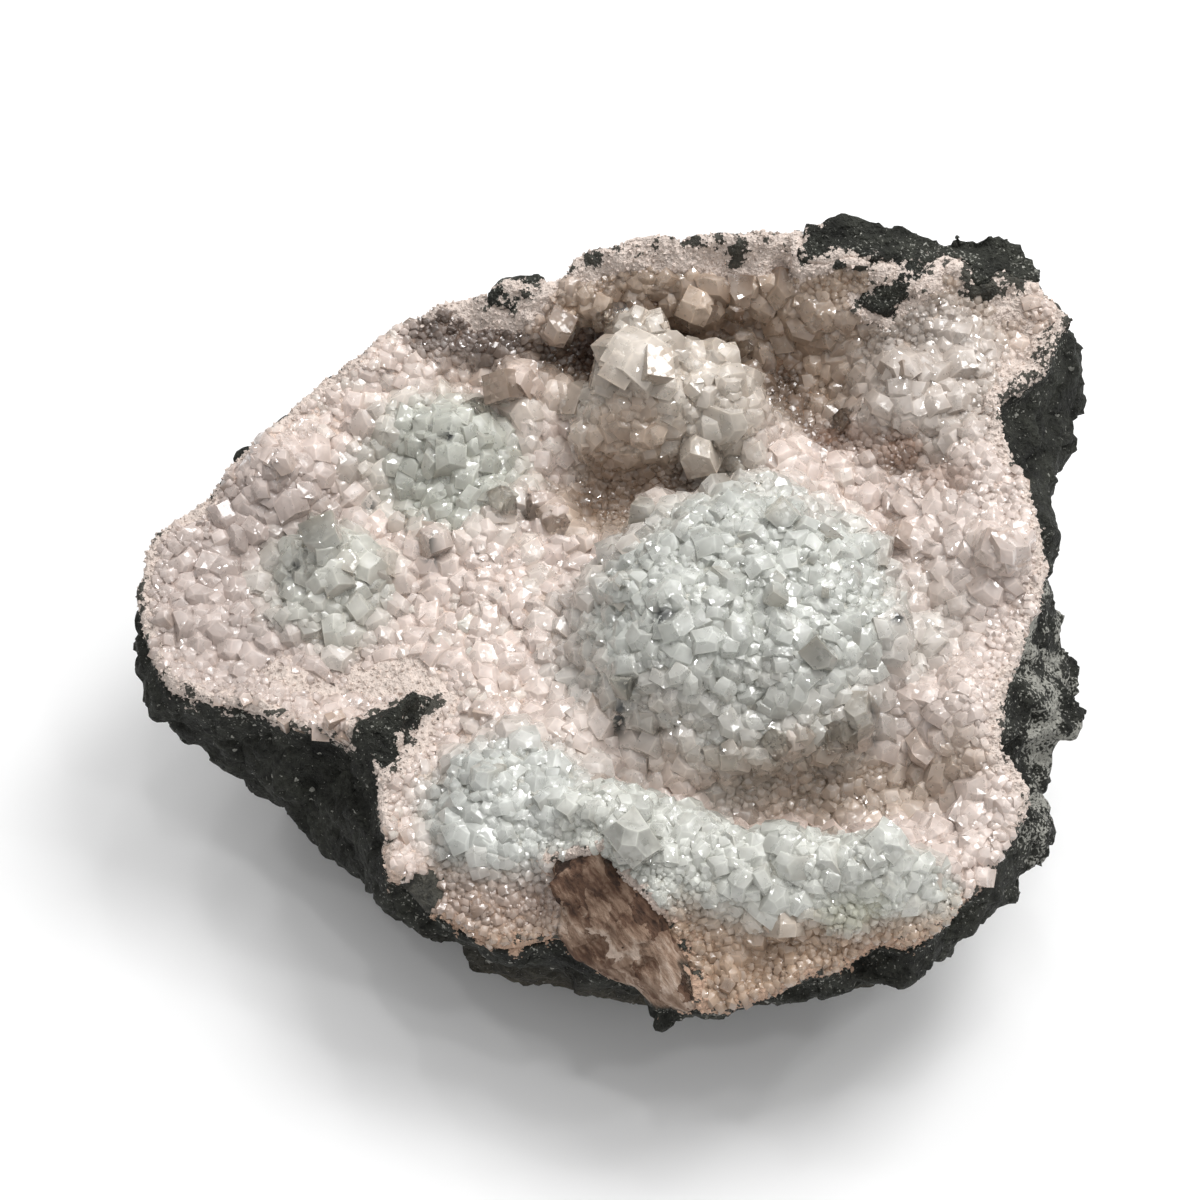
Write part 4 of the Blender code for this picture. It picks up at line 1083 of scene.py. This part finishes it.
class GEODE_OT_grow_crystals(bpy.types.Operator):
    """Grow the druse's crystals, large ones first"""

    bl_idname = "geode.grow_crystals"
    bl_label = "Grow crystals"

    def execute(self, context):
        rng = np.random.default_rng(SEED)
        material = apophyllite()
        land = ground()
        grown = 1.0 - rock_share(land["points"])
        bare = fall(land["rind"], 0.3, 0.7) * ramp(land["away"], 1.5, 3.5) * grown
        spots = scatter(land, bare, crystal_widths, LARGE_TRIES, SEED + 1, LARGE_SPACE)
        grow("crystals", spots, material, rng, 1.0)
        inside = fall(land["rind"], 0.7, 1.0) * ramp(land["away"], 2.0, 4.0) * grown
        spots = scatter(land, inside, small_widths, SMALL_TRIES, SEED + 2, SMALL_SPACE, spots)
        grow("small_crystals", spots, material, rng, 1.5)
        band = ramp(land["away"], 0.3, 1.2) * ramp(land["rind"], 0.1, 0.6) * grown
        spots = scatter(land, band, grain_widths, GRAIN_TRIES, SEED + 5, GRAIN_SPACE)
        count = len(spots["widths"])
        axes = leaned(spots["normals"], 0.7, rng)
        shapes, faces = grain_shapes(spots["places"], axes, rng.uniform(0, 2 * math.pi, count),
                                     spots["widths"])
        mesh = crystal_mesh("rind_grains", shapes, faces)
        shade = rng.normal(0.97, 0.09, (count, 1))
        tints = np.repeat(np.clip(rind_colours(spots["places"]) * shade, 0, 0.9), 6, axis=0)
        paint(mesh, tints, chalk=np.repeat(chalk_share(spots["places"], spots["inward"] + 1.5), 6))
        new_piece("rind_grains", mesh, bpy.data.materials["sugary_druse"])
        return {"FINISHED"}


def single_shapes(table, rng):
    """Shapes of a table of single crystals on the ground below their plan places: points, faces, feet,
    and the ground's quad at each foot."""
    land = ground()
    table = np.array(table, float)
    tree = surface_tree(land["points"], land["quads"])
    found = [tree.ray_cast((x, y, 400.0), (0, 0, -1)) for x, y in table[:, :2].tolist()]
    feet = np.array([item[0] for item in found])
    quads = np.array([item[2] for item in found])
    lean, azimuth, twist = np.radians(table[:, 4:7].T)
    axes = np.stack([np.sin(lean) * np.cos(azimuth), np.sin(lean) * np.sin(azimuth), np.cos(lean)], 1)
    widths, lengths, flats = table[:, 2], table[:, 3], table[:, 7]
    count = len(feet)
    shapes, faces = crystal_shapes(feet, axes, twist, widths, widths * 0.5, lengths,
                                   np.full(count, 0.95), flats * 0.8, np.full(count, 0.85),
                                   rng.normal(0.0, 0.03, (count, 16, 3)))
    return shapes, faces, feet, land["quads"][quads]


class GEODE_OT_set_heroes(bpy.types.Operator):
    """Set the large single crystals that stand out of the druse"""

    bl_idname = "geode.set_heroes"
    bl_label = "Set single crystals"

    def execute(self, context):
        land = ground()
        rng = np.random.default_rng(SEED + 3)
        shapes, faces, feet, quads = single_shapes(HEROES, rng)
        mesh = crystal_mesh("single_crystals", shapes, faces)
        tints, _ = tint_crystals({"places": feet, "sky": land["sky"][quads].mean(axis=1)}, rng)
        paint_crystals(mesh, np.clip(tints * 0.96, 0, 0.9), shapes, feet,
                       land["normals"][quads].mean(axis=1), np.full(len(tints), 0.3))
        new_piece("single_crystals", mesh, bpy.data.materials["apophyllite_crystal"])
        return {"FINISHED"}


class GEODE_OT_set_clear_points(bpy.types.Operator):
    """Set the few clear crystals"""

    bl_idname = "geode.set_clear_points"
    bl_label = "Set clear crystals"

    def execute(self, context):
        shapes, faces, _, _ = single_shapes(CLEAR_POINTS, np.random.default_rng(SEED + 4))
        mesh = crystal_mesh("clear_points", shapes, faces)
        new_piece("clear_points", mesh, clear_apophyllite())
        return {"FINISHED"}


class GEODE_OT_set_stage(bpy.types.Operator):
    """Set the pale floor, the soft lights and the camera"""

    bl_idname = "geode.set_stage"
    bl_label = "Set stage"

    def execute(self, context):
        scene = context.scene
        floor_points = np.array([(-1, -1, 0), (1, -1, 0), (1, 1, 0), (-1, 1, 0)]) * FLOOR_HALF
        mesh = new_mesh("floor", floor_points, np.arange(4), np.array([4]))
        material, _, shader, _ = new_material("white_paper")
        fill(shader, {"Base Color": opaque("#F6F6F6"), "Roughness": 0.9})
        mesh.materials.append(material)
        floor = bpy.data.objects.new("floor", mesh)
        scene.collection.objects.link(floor)
        world = bpy.data.worlds.new("studio")
        world.use_nodes = True
        tree = world.node_tree
        height = add_node(tree, "SeparateXYZ", (add_node(tree, "TexCoord", out="Generated"),), "Z")
        rising = add_node(tree, "MapRange", (height, 0.0, 0.7, LOW_SKY, scene.geode_studio.sky))
        fill(tree.nodes["Background"], {"Strength": rising, "Color": (1.0,) * 4})
        scene.world = world
        lights = [("key", KEY_PLACE, KEY_SIZE, scene.geode_studio.key),
                  ("fill", FILL_PLACE, FILL_SIZE, scene.geode_studio.fill),
                  ("front", FRONT_PLACE, FRONT_SIZE, scene.geode_studio.front)]
        lights += [(f"spark_{index}", place, SPARK_SIZE, SPARK_POWER)
                   for index, place in enumerate(SPARKS)]
        for name, place, width, power in lights:
            light = bpy.data.lights.new(name, "AREA")
            light.size = width
            light.energy = power
            lamp = bpy.data.objects.new(name, light)
            lamp.location = place
            lamp.rotation_euler = (Vector(LIGHT_AIM) - Vector(place)).to_track_quat("-Z", "Y").to_euler()
            scene.collection.objects.link(lamp)
        camera = bpy.data.objects.new("camera", bpy.data.cameras.new("camera"))
        elevation = math.radians(VIEW_ELEVATION)
        back = Vector((0.0, -math.cos(elevation), math.sin(elevation)))
        camera.location = (Vector(VIEW_CENTRE) + back * VIEW_DISTANCE) * MM
        camera.rotation_euler = (-back).to_track_quat("-Z", "Y").to_euler()
        camera.data.lens = LENS
        camera.data.sensor_width = SENSOR
        scene.collection.objects.link(camera)
        scene.camera = camera
        scene.view_settings.view_transform = "Standard"
        return {"FINISHED"}


class GEODE_PT_panel(bpy.types.Panel):
    """Settings and steps of the geode"""

    bl_idname = "GEODE_PT_panel"
    bl_label = "Geode"
    bl_space_type = "VIEW_3D"
    bl_region_type = "UI"
    bl_category = "Geode"

    def draw(self, context):
        layout = self.layout
        scene = context.scene
        for settings in (scene.geode_crystals, scene.geode_basalt, scene.geode_studio):
            for name in settings.__annotations__:
                layout.prop(settings, name)
        for step in STEPS:
            layout.operator(step.bl_idname)


STEPS = (GEODE_OT_break_basalt, GEODE_OT_lay_ground, GEODE_OT_grow_crystals, GEODE_OT_set_heroes,
         GEODE_OT_set_clear_points, GEODE_OT_set_stage)
SETTINGS = {"geode_crystals": CrystalSettings, "geode_basalt": BasaltSettings,
            "geode_studio": StudioSettings}


def register():
    """Register the settings, the steps and the panel."""
    for name, settings in SETTINGS.items():
        bpy.utils.register_class(settings)
        setattr(bpy.types.Scene, name, bpy.props.PointerProperty(type=settings))
    for step in (*STEPS, GEODE_PT_panel):
        bpy.utils.register_class(step)


def unregister():
    """Take all of it away again."""
    for step in (GEODE_PT_panel, *STEPS):
        bpy.utils.unregister_class(step)
    for name, settings in SETTINGS.items():
        delattr(bpy.types.Scene, name)
        bpy.utils.unregister_class(settings)


def main():
    """Build the geode step by step."""
    register()
    bpy.ops.geode.break_basalt()
    bpy.ops.geode.lay_ground()
    bpy.ops.geode.grow_crystals()
    bpy.ops.geode.set_heroes()
    bpy.ops.geode.set_clear_points()
    bpy.ops.geode.set_stage()


if __name__ == "__main__":
    main()
